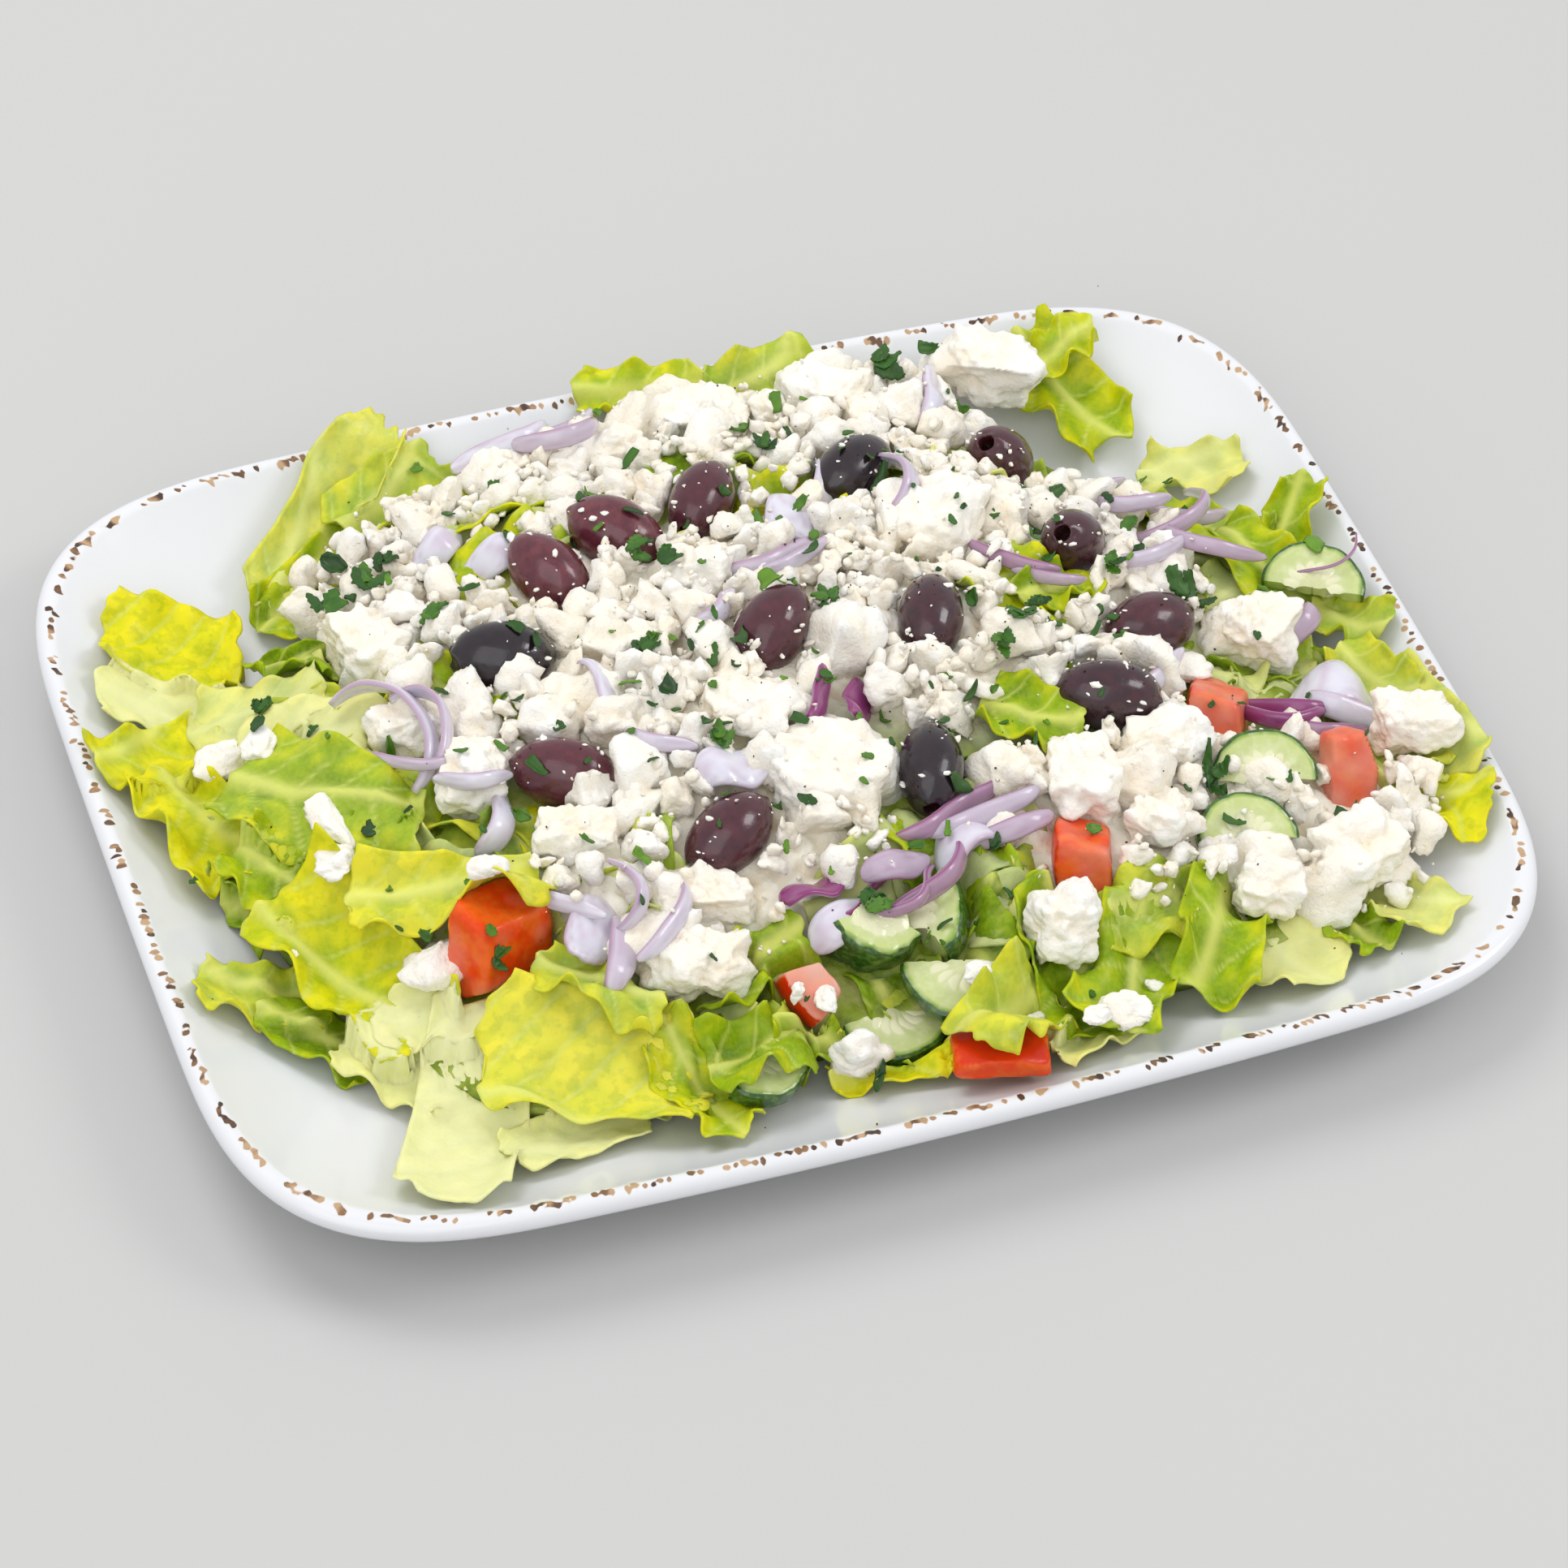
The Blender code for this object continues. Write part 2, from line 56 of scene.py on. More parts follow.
# ---------------------------------------------------------------- arrays into meshes

def grid_faces(rows, cols, wrap=False):
    """Four-cornered faces between neighbouring points of a grid, closed round the columns if
    asked."""
    index = np.arange(rows * cols).reshape(rows, cols)
    if wrap:
        index = np.concatenate([index, index[:, :1]], axis=1)
    corners = [index[:-1, :-1], index[1:, :-1], index[1:, 1:], index[:-1, 1:]]
    return np.stack(corners, -1).reshape(-1, 4)


def ball_faces(rows, cols):
    """Faces of a closed round skin: rings of points, then one point for each pole."""
    side = grid_faces(rows, cols, wrap=True)
    ring = np.arange(cols)
    following = np.roll(ring, -1)
    top, bottom = rows * cols, rows * cols + 1
    last = (rows - 1) * cols
    caps = [
        np.stack([np.full(cols, top), ring, following], -1),
        np.stack([np.full(cols, bottom), last + following, last + ring], -1),
    ]
    return [side, *caps]


def ball_directions(rows, cols):
    """Unit directions from pole to pole: height is the cosine of the polar angle and the ring
    has its sine for a radius; the two poles come last."""
    polar = math.pi * (np.arange(rows) + 0.7) / (rows + 0.4)
    turn = math.tau * np.arange(cols) / cols
    x = np.sin(polar)[:, None] * np.cos(turn)
    y = np.sin(polar)[:, None] * np.sin(turn)
    z = np.cos(polar)[:, None] * np.ones(cols)
    rings = np.stack([x, y, z], -1).reshape(-1, 3)
    return np.concatenate([rings, [[0, 0, 1], [0, 0, -1]]])


def grid_normals(points):
    """Unit normals of a grid surface, from the cross product of its two slopes."""
    along = np.gradient(points, axis=0)
    across = np.gradient(points, axis=1)
    normal = np.cross(along, across)
    return normal / np.maximum(np.linalg.norm(normal, axis=2, keepdims=True), 1e-9)


def shell(points, thickness):
    """A thin closed body round a grid surface: the surface moved half the thickness out and in
    along its normals, joined by a strip round the border."""
    rows, cols = points.shape[:2]
    half = np.asarray(thickness)[..., None] / 2 if np.ndim(thickness) else thickness / 2
    move = grid_normals(points) * half
    both = np.concatenate([(points + move).reshape(-1, 3), (points - move).reshape(-1, 3)])
    front = grid_faces(rows, cols)
    index = np.arange(rows * cols).reshape(rows, cols)
    border = np.concatenate([index[:-1, 0], index[-1, :-1], index[:0:-1, -1], index[0, :0:-1]])
    following = np.roll(border, -1)
    back = rows * cols
    strip = np.stack([following, border, border + back, following + back], -1)
    return both, [front, front[:, ::-1] + back, strip]


def signed_volume(points, faces):
    """Six times the volume, negative when the faces look inward."""
    total = 0.0
    for part in faces:
        corners = points[part]
        total += (corners[:, :1] * np.cross(corners[:, 1:-1], corners[:, 2:])).sum()
    return total


class Batch:
    """Things of one kind gathered as arrays: points, faces and named values at each point."""

    def __init__(self):
        self.points, self.faces, self.values, self.count = [], [], {}, 0

    def add(self, points, faces, **values):
        if signed_volume(points - points.mean(0), faces) < 0:
            faces = [part[:, ::-1] for part in faces]
        self.points.append(points)
        self.faces += [part + self.count for part in faces]
        for name, value in values.items():
            spread = np.broadcast_to(np.asarray(value, np.float32), (len(points),))
            self.values.setdefault(name, []).append(spread)
        self.count += len(points)

    def build(self, name, material, slot, stands_for=(), sharp=0):
        """One mesh object of everything gathered, riding on the root body."""
        points = np.concatenate(self.points) * MM
        loops = np.concatenate([part.ravel() for part in self.faces])
        sizes = np.concatenate([np.full(len(part), part.shape[1]) for part in self.faces])
        starts = np.concatenate([[0], np.cumsum(sizes)[:-1]])
        mesh = bpy.data.meshes.new(name)
        mesh.vertices.add(len(points))
        mesh.vertices.foreach_set("co", points.astype(np.float32).ravel())
        mesh.loops.add(len(loops))
        mesh.loops.foreach_set("vertex_index", loops.astype(np.int32))
        mesh.polygons.add(len(sizes))
        mesh.polygons.foreach_set("loop_start", starts.astype(np.int32))
        for key, parts in self.values.items():
            layer = mesh.attributes.new(key, "FLOAT", "POINT")
            layer.data.foreach_set("value", np.concatenate(parts).astype(np.float32))
        mesh.update(calc_edges=True)
        mesh.validate()
        mesh.shade_smooth()
        if sharp:
            mesh.set_sharp_from_angle(angle=math.radians(sharp))
        mesh.materials.append(material)
        piece = bpy.data.objects.new(name, mesh)
        bpy.context.scene.collection.objects.link(piece)
        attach(piece, "root")
        if stands_for:
            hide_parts(*stands_for)


# ---------------------------------------------------------------- noise

def mixed_bits(cells, seed):
    """A repeatable random number from 0 to 1 for each whole-number cell: its three numbers and
    the seed, each times a large prime, stirred together bit by bit."""
    x, y, z = cells[..., 0], cells[..., 1], cells[..., 2]
    bits = x * 73856093 ^ y * 19349663 ^ z * 83492791 ^ seed * 2654435
    bits = (bits ^ (bits >> 13)) * 1274126177
    return ((bits ^ (bits >> 16)) & 0xFFFF) / 65535.0


def rough(points, spacing, seed=0):
    """Smooth noise from -1 to 1: random corner values blended with an eased weight."""
    place = np.asarray(points, float) / spacing + seed * 7.31
    cell = np.floor(place).astype(np.int64)
    share = place - cell
    share = share * share * (3 - 2 * share)
    total = 0
    for corner in itertools.product((0, 1), repeat=3):
        weight = np.prod(np.where(corner, share, 1 - share), axis=-1)
        total = total + weight * mixed_bits(cell + np.array(corner), seed)
    return total * 2 - 1


def lumps(points, spacing, seed=0):
    """Rounded grains from 0 to 1: one minus the squared distance to the nearest scattered
    centre, which lies at a random place in its cell."""
    place = np.asarray(points, float) / spacing + seed * 3.17
    cell = np.floor(place).astype(np.int64)
    nearest = np.full(place.shape[:-1], 9.0)
    for corner in itertools.product((-1, 0, 1), repeat=3):
        around = cell + np.array(corner)
        centre = around + np.stack([mixed_bits(around, seed + k) for k in (1, 2, 3)], -1)
        nearest = np.minimum(nearest, ((place - centre) ** 2).sum(-1))
    return np.maximum(1 - nearest, 0)


def draws(rng, *ranges):
    """One random number between each pair of ends, in order."""
    return [rng.uniform(low, high) for low, high in ranges]


def turned(points, heading=0.0, pitch=0.0, roll=0.0):
    """Points rolled about X, pitched about Y (positive lifts +X), then turned about Z; degrees."""
    turn = Matrix.Rotation(math.radians(heading), 3, "Z")
    turn = turn @ Matrix.Rotation(math.radians(-pitch), 3, "Y")
    turn = turn @ Matrix.Rotation(math.radians(roll), 3, "X")
    return points @ np.array(turn).T


# ---------------------------------------------------------------- materials

class Paint:
    """A material on one Principled shader, with short calls for the nodes that feed it."""

    def __init__(self, name, **sockets):
        self.material = bpy.data.materials.new(name)
        self.material.use_nodes = True
        self.tree = self.material.node_tree
        self.shader = self.tree.nodes["Principled BSDF"]
        for socket, value in sockets.items():
            self.shader.inputs[socket.replace("_", " ")].default_value = value

    def node(self, kind, inputs=None, **settings):
        made = self.tree.nodes.new(kind)
        for key, value in settings.items():
            setattr(made, key, value)
        for key, value in (inputs or {}).items():
            if isinstance(value, bpy.types.NodeSocket):
                self.tree.links.new(value, made.inputs[key])
            else:
                made.inputs[key].default_value = value
        return made

    def place(self):
        return self.node("ShaderNodeTexCoord").outputs["Object"]

    def value(self, name):
        return self.node("ShaderNodeAttribute", attribute_name=name).outputs["Fac"]

    def noise(self, size_mm, detail):
        """Noise whose grains are about the given size."""
        inputs = {"Vector": self.place(), "Scale": 1000.0 / size_mm, "Detail": detail}
        return self.node("ShaderNodeTexNoise", inputs).outputs["Fac"]

    def steps(self, factor, *stops):
        """A colour ramp of (position, colour) stops; a plain number is a grey."""
        ramp = self.node("ShaderNodeValToRGB", {"Fac": factor})
        elements = ramp.color_ramp.elements
        while len(elements) < len(stops):
            elements.new(0.5)
        for element, (position, colour) in zip(elements, stops):
            element.position = position
            element.color = (*(colour if isinstance(colour, tuple) else (colour,) * 3), 1)
        return ramp.outputs["Color"]

    def blend(self, factor, first, second):
        """Two colours mixed by a factor."""
        mix = self.node("ShaderNodeMix", data_type="RGBA")
        for index, item in ((0, factor), (6, first), (7, second)):
            if isinstance(item, bpy.types.NodeSocket):
                self.tree.links.new(item, mix.inputs[index])
            elif isinstance(item, tuple):
                mix.inputs[index].default_value = (*item, 1)
            else:
                mix.inputs[index].default_value = item
        return mix.outputs[2]

    def maths(self, how, first, second, clamp=False):
        made = self.node("ShaderNodeMath", {0: first, 1: second}, operation=how, use_clamp=clamp)
        return made.outputs[0]

    def plus(self, base, value, share):
        """The base and a share of another value."""
        return self.maths("ADD", base, self.maths("MULTIPLY", value, share))

    def mottled(self, base, size_mm, detail, share):
        """The base, raised and lowered by noise about its middle."""
        return self.plus(base, self.maths("SUBTRACT", self.noise(size_mm, detail), 0.5), share)

    def bump(self, height, depth_mm, strength, under=None):
        inputs = {"Height": height, "Distance": depth_mm * MM, "Strength": strength}
        if under is not None:
            inputs["Normal"] = under
        return self.node("ShaderNodeBump", inputs).outputs["Normal"]

    def finish(self, colour=None, roughness=None, normal=None):
        for key, source in (("Base Color", colour), ("Roughness", roughness), ("Normal", normal)):
            if source is not None:
                self.tree.links.new(source, self.shader.inputs[key])
        return self.material


def soft_depth(paint, weight, scale_mm, radius):
    """Light that sinks in and comes out again nearby, as in cheese, leaf and onion."""
    paint.shader.inputs["Subsurface Weight"].default_value = weight
    paint.shader.inputs["Subsurface Scale"].default_value = scale_mm * MM
    paint.shader.inputs["Subsurface Radius"].default_value = radius


def glaze_paint():
    """Cool white gloss; the pits' own values paint them tan to dark brown inside."""
    paint = Paint("white_glaze", Roughness=0.2, Coat_Weight=0.3, Coat_Roughness=0.05)
    inside = paint.steps(paint.value("fleck"), (0.50, 0.0), (0.56, 1.0))
    grain = paint.noise(0.9, 3)
    brown = paint.steps(paint.plus(paint.value("fleck_tone"), grain, 0.35),
                        (0.25, (0.055, 0.028, 0.018)), (0.6, (0.23, 0.12, 0.055)),
                        (0.95, (0.50, 0.33, 0.19)))
    halo = paint.steps(paint.value("fleck"), (0.36, 0.0), (0.50, 0.5))
    white = paint.blend(paint.noise(60, 1), (0.735, 0.75, 0.785), (0.76, 0.77, 0.80))
    white = paint.blend(halo, white, (0.74, 0.68, 0.62))
    colour = paint.blend(inside, white, brown)
    roughness = paint.steps(inside, (0.0, 0.16), (1.0, 0.55))
    return paint.finish(colour, roughness, paint.bump(paint.noise(9, 1), 0.05, 0.3))


def leaf_paint():
    """Green to yellow by the leaf's tone, paler by its rib and pale values, darker and greener
    in the creases of its quilting as painted shade, with a fine network of veins."""
    paint = Paint("lettuce", Roughness=0.4, Coat_Weight=0.05, Coat_Roughness=0.15,
                  Specular_IOR_Level=0.22)
    soft_depth(paint, 0.15, 2.0, (0.8, 1.0, 0.06))
    tone = paint.mottled(paint.value("tone"), 7, 3, 0.5)
    # painted shade: darker and greener down the quilting's creases, lighter and yellower on its
    # ridges
    tone = paint.plus(tone, paint.value("quilt"), 0.20)
    colour = paint.steps(tone, (0.0, (0.025, 0.08, 0.001)), (0.28, (0.11, 0.22, 0.002)),
                         (0.52, (0.27, 0.405, 0.003)), (0.75, (0.60, 0.61, 0.003)),
                         (1.0, (0.82, 0.73, 0.006)))
    cells = paint.steps(paint.noise(3.0, 4), (0.40, 0.5), (0.52, 0.0))
    colour = paint.blend(paint.maths("MULTIPLY", cells, 0.6), colour, (0.22, 0.34, 0.004))
    ribs = paint.maths("MULTIPLY", paint.value("rib"), 0.72, clamp=True)
    colour = paint.blend(ribs, colour, (0.74, 0.76, 0.20))
    fine = paint.noise(1.1, 2)
    colour = paint.blend(paint.steps(fine, (0.42, 0.12), (0.58, 0.0)), colour, (0.68, 0.70, 0.06))
    colour = paint.blend(paint.value("pale"), colour, (0.80, 0.82, 0.47))
    normal = paint.bump(paint.noise(2.6, 3), 0.35, 0.6)
    normal = paint.bump(fine, 0.12, 0.5, normal)
    roughness = paint.steps(paint.noise(5, 2), (0.3, 0.30), (0.7, 0.52))
    return paint.finish(colour, roughness, normal)


def feta_paint():
    """Milk white, creamier in patches; painted shade turns the hollows between its grains tan."""
    paint = Paint("feta_cheese", Roughness=0.6, Specular_IOR_Level=0.3)
    patches = paint.steps(paint.noise(13, 2), (0.42, 0.0), (0.66, 1.0))
    colour = paint.blend(patches, (0.885, 0.875, 0.84), (0.90, 0.855, 0.76))
    colour = paint.blend(paint.value("cream"), colour, (0.90, 0.82, 0.67))
    # painted shade: the hollows between the grains darkened to warm tan
    hollows = paint.steps(paint.value("crevice"), (0.0, 0.0), (1.0, 0.7))
    colour = paint.blend(hollows, colour, (0.86, 0.73, 0.52))
    cells = {"Vector": paint.place(), "Scale": 620.0, "Randomness": 1.0}
    curds = paint.node("ShaderNodeTexVoronoi", cells).outputs["Distance"]
    normal = paint.bump(paint.noise(0.7, 4), 0.32, 0.8)
    normal = paint.bump(paint.maths("MULTIPLY", curds, -1.0), 0.45, 0.4, normal)
    return paint.finish(colour, None, normal)


def olive_paint():
    """Dark purple-brown skin, redder or blacker by each olive's tone, with an oily coat."""
    paint = Paint("olive_skin", Roughness=0.32, Coat_Weight=0.5, Coat_Roughness=0.06, Coat_IOR=1.4)
    tone = paint.mottled(paint.value("tone"), 2.4, 4, 0.5)
    colour = paint.steps(tone, (0.0, (0.010, 0.007, 0.012)), (0.4, (0.034, 0.011, 0.018)),
                         (0.75, (0.100, 0.018, 0.030)), (1.0, (0.20, 0.045, 0.055)))
    colour = paint.blend(paint.value("inside"), colour, (0.06, 0.013, 0.012))
    normal = paint.bump(paint.noise(1.3, 3), 0.10, 0.6)
    normal = paint.bump(paint.noise(5.0, 2), 0.35, 0.4, normal)
    roughness = paint.steps(paint.noise(3, 3), (0.35, 0.15), (0.68, 0.36))
    return paint.finish(colour, roughness, normal)


def onion_paint():
    """Milky lilac white with fine lengthwise lines, purple on the skin side and by its edges."""
    paint = Paint("red_onion", Roughness=0.22, Coat_Weight=0.4, Coat_Roughness=0.12)
    soft_depth(paint, 0.15, 2.5, (1.0, 0.8, 1.0))
    lines = paint.steps(paint.value("line"), (0.0, 0.0), (1.0, 1.0))
    white = paint.blend(paint.noise(6, 2), (0.62, 0.60, 0.72), (0.76, 0.76, 0.82))
    white = paint.blend(lines, white, (0.58, 0.46, 0.58))
    colour = paint.blend(paint.steps(paint.value("skin"), (0.08, 0.0), (0.5, 0.5), (0.9, 1.0)),
                         white, (0.245, 0.035, 0.16))
    return paint.finish(colour, None, paint.bump(paint.noise(2.0, 3), 0.12, 0.5))


def cucumber_paint():
    """Dark green skin with pale streaks, a light green ring under it, and glassy pale flesh
    with a ring of seeds, all by the distance from the slice's middle."""
    paint = Paint("cucumber_flesh", Roughness=0.2, Coat_Weight=0.5, Coat_Roughness=0.1)
    flesh = paint.steps(paint.value("reach"), (0.0, (0.60, 0.62, 0.33)), (0.45, (0.64, 0.67, 0.36)),
                        (0.62, (0.55, 0.62, 0.28)), (0.86, (0.52, 0.60, 0.22)),
                        (0.925, (0.22, 0.36, 0.05)), (0.955, (0.035, 0.10, 0.012)))
    seeds = paint.steps(paint.value("seed"), (0.35, 0.0), (0.6, 0.7))
    flesh = paint.blend(seeds, flesh, (0.80, 0.79, 0.55))
    glassy = paint.steps(paint.noise(2.2, 3), (0.45, 0.0), (0.8, 0.5))
    flesh = paint.blend(glassy, flesh, (0.74, 0.76, 0.50))
    streaks = paint.steps(paint.noise(1.6, 2), (0.45, 0.0), (0.62, 1.0))
    skin = paint.blend(streaks, (0.020, 0.075, 0.010), (0.07, 0.16, 0.02))
    colour = paint.blend(paint.value("rind"), flesh, skin)
    return paint.finish(colour, None, paint.bump(paint.noise(1.2, 2), 0.12, 0.5))


def tomato_paint():
    """Red skin; wet orange-red flesh, paler where the value for it rises."""
    paint = Paint("tomato_flesh", Roughness=0.3, Coat_Weight=0.12, Coat_Roughness=0.06,
                  Specular_IOR_Level=0.25)
    cells = paint.noise(2.0, 3)
    streaks = paint.steps(paint.noise(5.0, 3), (0.42, 0.0), (0.60, 1.0))
    flesh = paint.blend(cells, (0.82, 0.085, 0.003), (0.68, 0.028, 0.001))
    flesh = paint.blend(paint.maths("MULTIPLY", streaks, 0.28), flesh, (0.86, 0.28, 0.03))
    flesh = paint.blend(paint.value("pale"), flesh, (0.72, 0.40, 0.32))
    skin = paint.blend(paint.noise(8, 2), (0.60, 0.016, 0.003), (0.76, 0.050, 0.003))
    colour = paint.blend(paint.value("rind"), flesh, skin)
    return paint.finish(colour, None, paint.bump(cells, 0.3, 0.5))


def herb_paint():
    """Dark green, each bit by its own tone."""
    paint = Paint("parsley", Roughness=0.42)
    tone = paint.plus(paint.value("tone"), paint.noise(2, 2), 0.3)
    colour = paint.steps(tone, (0.1, (0.010, 0.042, 0.008)), (0.6, (0.035, 0.125, 0.010)),
                         (1.1, (0.14, 0.30, 0.015)))
    return paint.finish(colour, None, paint.bump(paint.noise(0.8, 2), 0.15, 0.6))


def pepper_paint():
    """Dry brown black."""
    paint = Paint("pepper", Roughness=0.7)
    colour = paint.steps(paint.noise(0.5, 2), (0.35, (0.02, 0.014, 0.010)),
                         (0.7, (0.14, 0.09, 0.05)))
    return paint.finish(colour)


def floor_paint():
    """Plain pale grey, very slightly cloudy."""
    paint = Paint("pale_floor", Roughness=0.6)
    colour = paint.blend(paint.noise(400, 2), (0.52, 0.52, 0.515), (0.55, 0.55, 0.545))
    return paint.finish(colour)


# ---------------------------------------------------------------- platter

CREST_HALF = np.array([150.0, 113.5])   # half length and half width to the crest of the rim
CREST_HEIGHT = 22.0
CORNER, LEAST_CORNER = 68.0, 20.0       # how far a corner's bend reaches along each side
CORNER_POWER, LEAST_POWER = 3.2, 2.4    # 2 is a round corner, and more is squarer
BOW = np.array([1.4, 5.3])              # how far the short and the long sides bulge
LIP_RADIUS = 2.6
LIP_INNER_TURN, LIP_OUTER_TURN = 40, 60     # where the lip meets the wall and the underside
FLOOR_TOP, FLOOR_UNDER = 5.0, 1.5
WALL_RUN = 39.0
FOOT_OUTER, FOOT_INNER = 37.5, 41.5
UNDER_LEVEL = 41.0                      # inset at which the underside of the wall lies level
CORNER_POINTS, LONG_POINTS, SHORT_POINTS = 104, 190, 130
GLAZE_WAVE = 0.12
PIT_DEPTH = 0.45


def corner_at(inset):
    """Half sizes, reach of the corners' bend and its power, at an inset from the crest."""
    reach = max(CORNER - 0.55 * inset, LEAST_CORNER)
    return CREST_HALF - inset, reach, max(CORNER_POWER - 0.009 * inset, LEAST_POWER)


def platter_ring(inset):
    """Straight sides that bow a little between squarish rounded corners, moved in by the
    inset: in a corner the powers of x and y add up to one, and a side's bow is a parabola."""
    half, reach, power = corner_at(inset)
    turn = np.linspace(0, math.pi / 2, CORNER_POINTS)
    direction = np.stack([np.cos(turn), np.sin(turn)], -1)
    bulge = (direction ** power).sum(1, keepdims=True) ** (1 / power)
    corner = half - reach + reach * direction / bulge
    parts = []
    for quarter, sign in enumerate(((1, 1), (-1, 1), (-1, -1), (1, -1))):
        bend = (corner[::-1] if quarter % 2 else corner) * sign
        count = SHORT_POINTS if quarter % 2 else LONG_POINTS
        share = np.linspace(1, -1, count + 1)[1:-1, None]
        side = bend[-1] * np.where([quarter % 2 == 1, quarter % 2 == 0], 1.0, share)
        parts += [bend, side]
    ring = np.concatenate(parts)
    return ring + BOW * ring / half * np.maximum(1 - (ring[:, ::-1] / half[::-1]) ** 2, 0)


def platter_sections():
    """(inset, height) from the foot's inner edge out under the wall, over the lip, in down the
    wall and across the floor."""
    lip_height = CREST_HEIGHT - LIP_RADIUS
    inner, outer = math.radians(LIP_INNER_TURN), math.radians(LIP_OUTER_TURN)
    wall_start = LIP_RADIUS * math.sin(inner)
    wall_top = lip_height + LIP_RADIUS * math.cos(inner)
    round_foot = [(FOOT_INNER + 0.8, FLOOR_UNDER), (FOOT_INNER + 0.3, 0.9), (FOOT_INNER, 0.25),
                  (FOOT_INNER - 0.4, 0.0), (FOOT_OUTER + 0.6, 0.0), (FOOT_OUTER + 0.15, 0.25),
                  (FOOT_OUTER - 0.1, 0.9), (FOOT_OUTER - 0.7, 1.7)]
    under_end = -LIP_RADIUS * math.cos(outer)
    under_top = lip_height - LIP_RADIUS * math.sin(outer)
    inset = np.linspace(FOOT_OUTER, under_end, 13)[1:-1]
    climb = (UNDER_LEVEL - inset) / (UNDER_LEVEL - under_end)
    height = FLOOR_UNDER + (under_top - FLOOR_UNDER) * climb ** 2
    turn = np.radians(np.linspace(-LIP_OUTER_TURN, 90 + LIP_INNER_TURN, 30))
    lip = np.stack([-LIP_RADIUS * np.cos(turn), lip_height + LIP_RADIUS * np.sin(turn)], -1)
    share = np.linspace(0, 1, 24)[1:] ** 1.2
    fall = FLOOR_TOP + (wall_top - FLOOR_TOP) * (1 - share) ** 2
    wall = np.stack([wall_start + WALL_RUN * share, fall], -1)
    return np.concatenate([round_foot, np.stack([inset, height], -1), lip, wall])


def dish_height(x, y):
    """Height of the platter's upper face at each place, from a coarse search for the inset
    whose ring passes through it."""
    inset = np.zeros(np.shape(x))
    for step in np.arange(0.5, 44, 0.5):
        half, reach, power = corner_at(step)
        px = np.abs(x) - BOW[0] * np.abs(x) / half[0] * np.maximum(1 - (y / half[1]) ** 2, 0)
        py = np.abs(y) - BOW[1] * np.abs(y) / half[1] * np.maximum(1 - (x / half[0]) ** 2, 0)
        over_x = np.maximum(px - (half[0] - reach), 0) / reach
        over_y = np.maximum(py - (half[1] - reach), 0) / reach
        inset = np.where(over_x ** power + over_y ** power <= 1, step, inset)
    rise = np.clip(1 - (inset - 1.7) / WALL_RUN, 0, 1)
    return FLOOR_TOP + (CREST_HEIGHT - 0.6 - FLOOR_TOP) * rise ** 2


def fleck_places(ring, rng):
    """Pits in short rows along the crest: one to six pits about 1.8 mm apart, then a gap of up
    to 5.5 mm, as (x, y, tangent, half length, half width, tone)."""
    gaps = np.linalg.norm(np.roll(ring, -1, 0) - ring, axis=1)
    along = np.concatenate([[0], np.cumsum(gaps)])
    closed = np.concatenate([ring, ring[:1]])
    found = []
    place = 0.0
    while place < along[-1] - 6:
        for _ in range(rng.choice([1, 2, 3, 4, 5, 6], p=[0.10, 0.18, 0.22, 0.22, 0.16, 0.12])):
            here = [np.interp(place, along, closed[:, k]) for k in (0, 1)]
            ahead = [np.interp(min(place + 1, along[-1]), along, closed[:, k]) for k in (0, 1)]
            tangent = np.subtract(ahead, here)
            tangent = tangent / max(np.linalg.norm(tangent), 1e-6)
            inward = np.array([-tangent[1], tangent[0]])
            centre = np.array(here) + inward * rng.normal(0.55, 0.45)
            found.append((*centre, *tangent, *draws(rng, (0.5, 0.95), (0.7, 1.5), (0, 1))))
            place += rng.uniform(1.4, 2.3)
            if place > along[-1] - 2:
                break
        place += rng.uniform(1.0, 5.5)
    return found


def make_platter(material):
    """Rings swept up the profile and closed by flat faces; the pits are pressed into the lip."""
    rng = np.random.default_rng(3)
    sections = platter_sections()
    rings = np.stack([platter_ring(inset) for inset in sections[:, 0]])
    heights = np.broadcast_to(sections[:, 1, None, None], (*rings.shape[:2], 1))
    points = np.concatenate([rings, heights], -1)
    fleck = np.full(points.shape[:2], -1.0)
    tone = np.zeros(points.shape[:2])
    near = np.flatnonzero(np.abs(sections[:, 0]) < 4.0)
    zone = points[near][..., :2]
    for x, y, tx, ty, half_length, half_width, shade in fleck_places(platter_ring(0.0), rng):
        dx, dy = zone[..., 0] - x, zone[..., 1] - y
        depth = 1 - np.hypot((dx * tx + dy * ty) / half_length, (dy * tx - dx * ty) / half_width)
        best = depth > fleck[near]
        fleck[near] = np.where(best, depth, fleck[near])
        tone[near] = np.where(best, shade, tone[near])
    wave = rough(points, 26, 5) * GLAZE_WAVE * (points[..., 2] > 8)
    points[..., 2] += wave - PIT_DEPTH * np.clip(fleck + 0.15, 0, 0.7)
    rows, cols = points.shape[:2]
    batch = Batch()
    faces = [grid_faces(rows, cols, wrap=True), np.arange(cols)[None],
             (rows - 1) * cols + np.arange(cols)[None, ::-1]]
    batch.add(points.reshape(-1, 3), faces, fleck=fleck.ravel() * 0.5 + 0.5,
              fleck_tone=tone.ravel())
    batch.build("platter_fine", material, "white_glaze", ["platter"])


# ---------------------------------------------------------------- height map

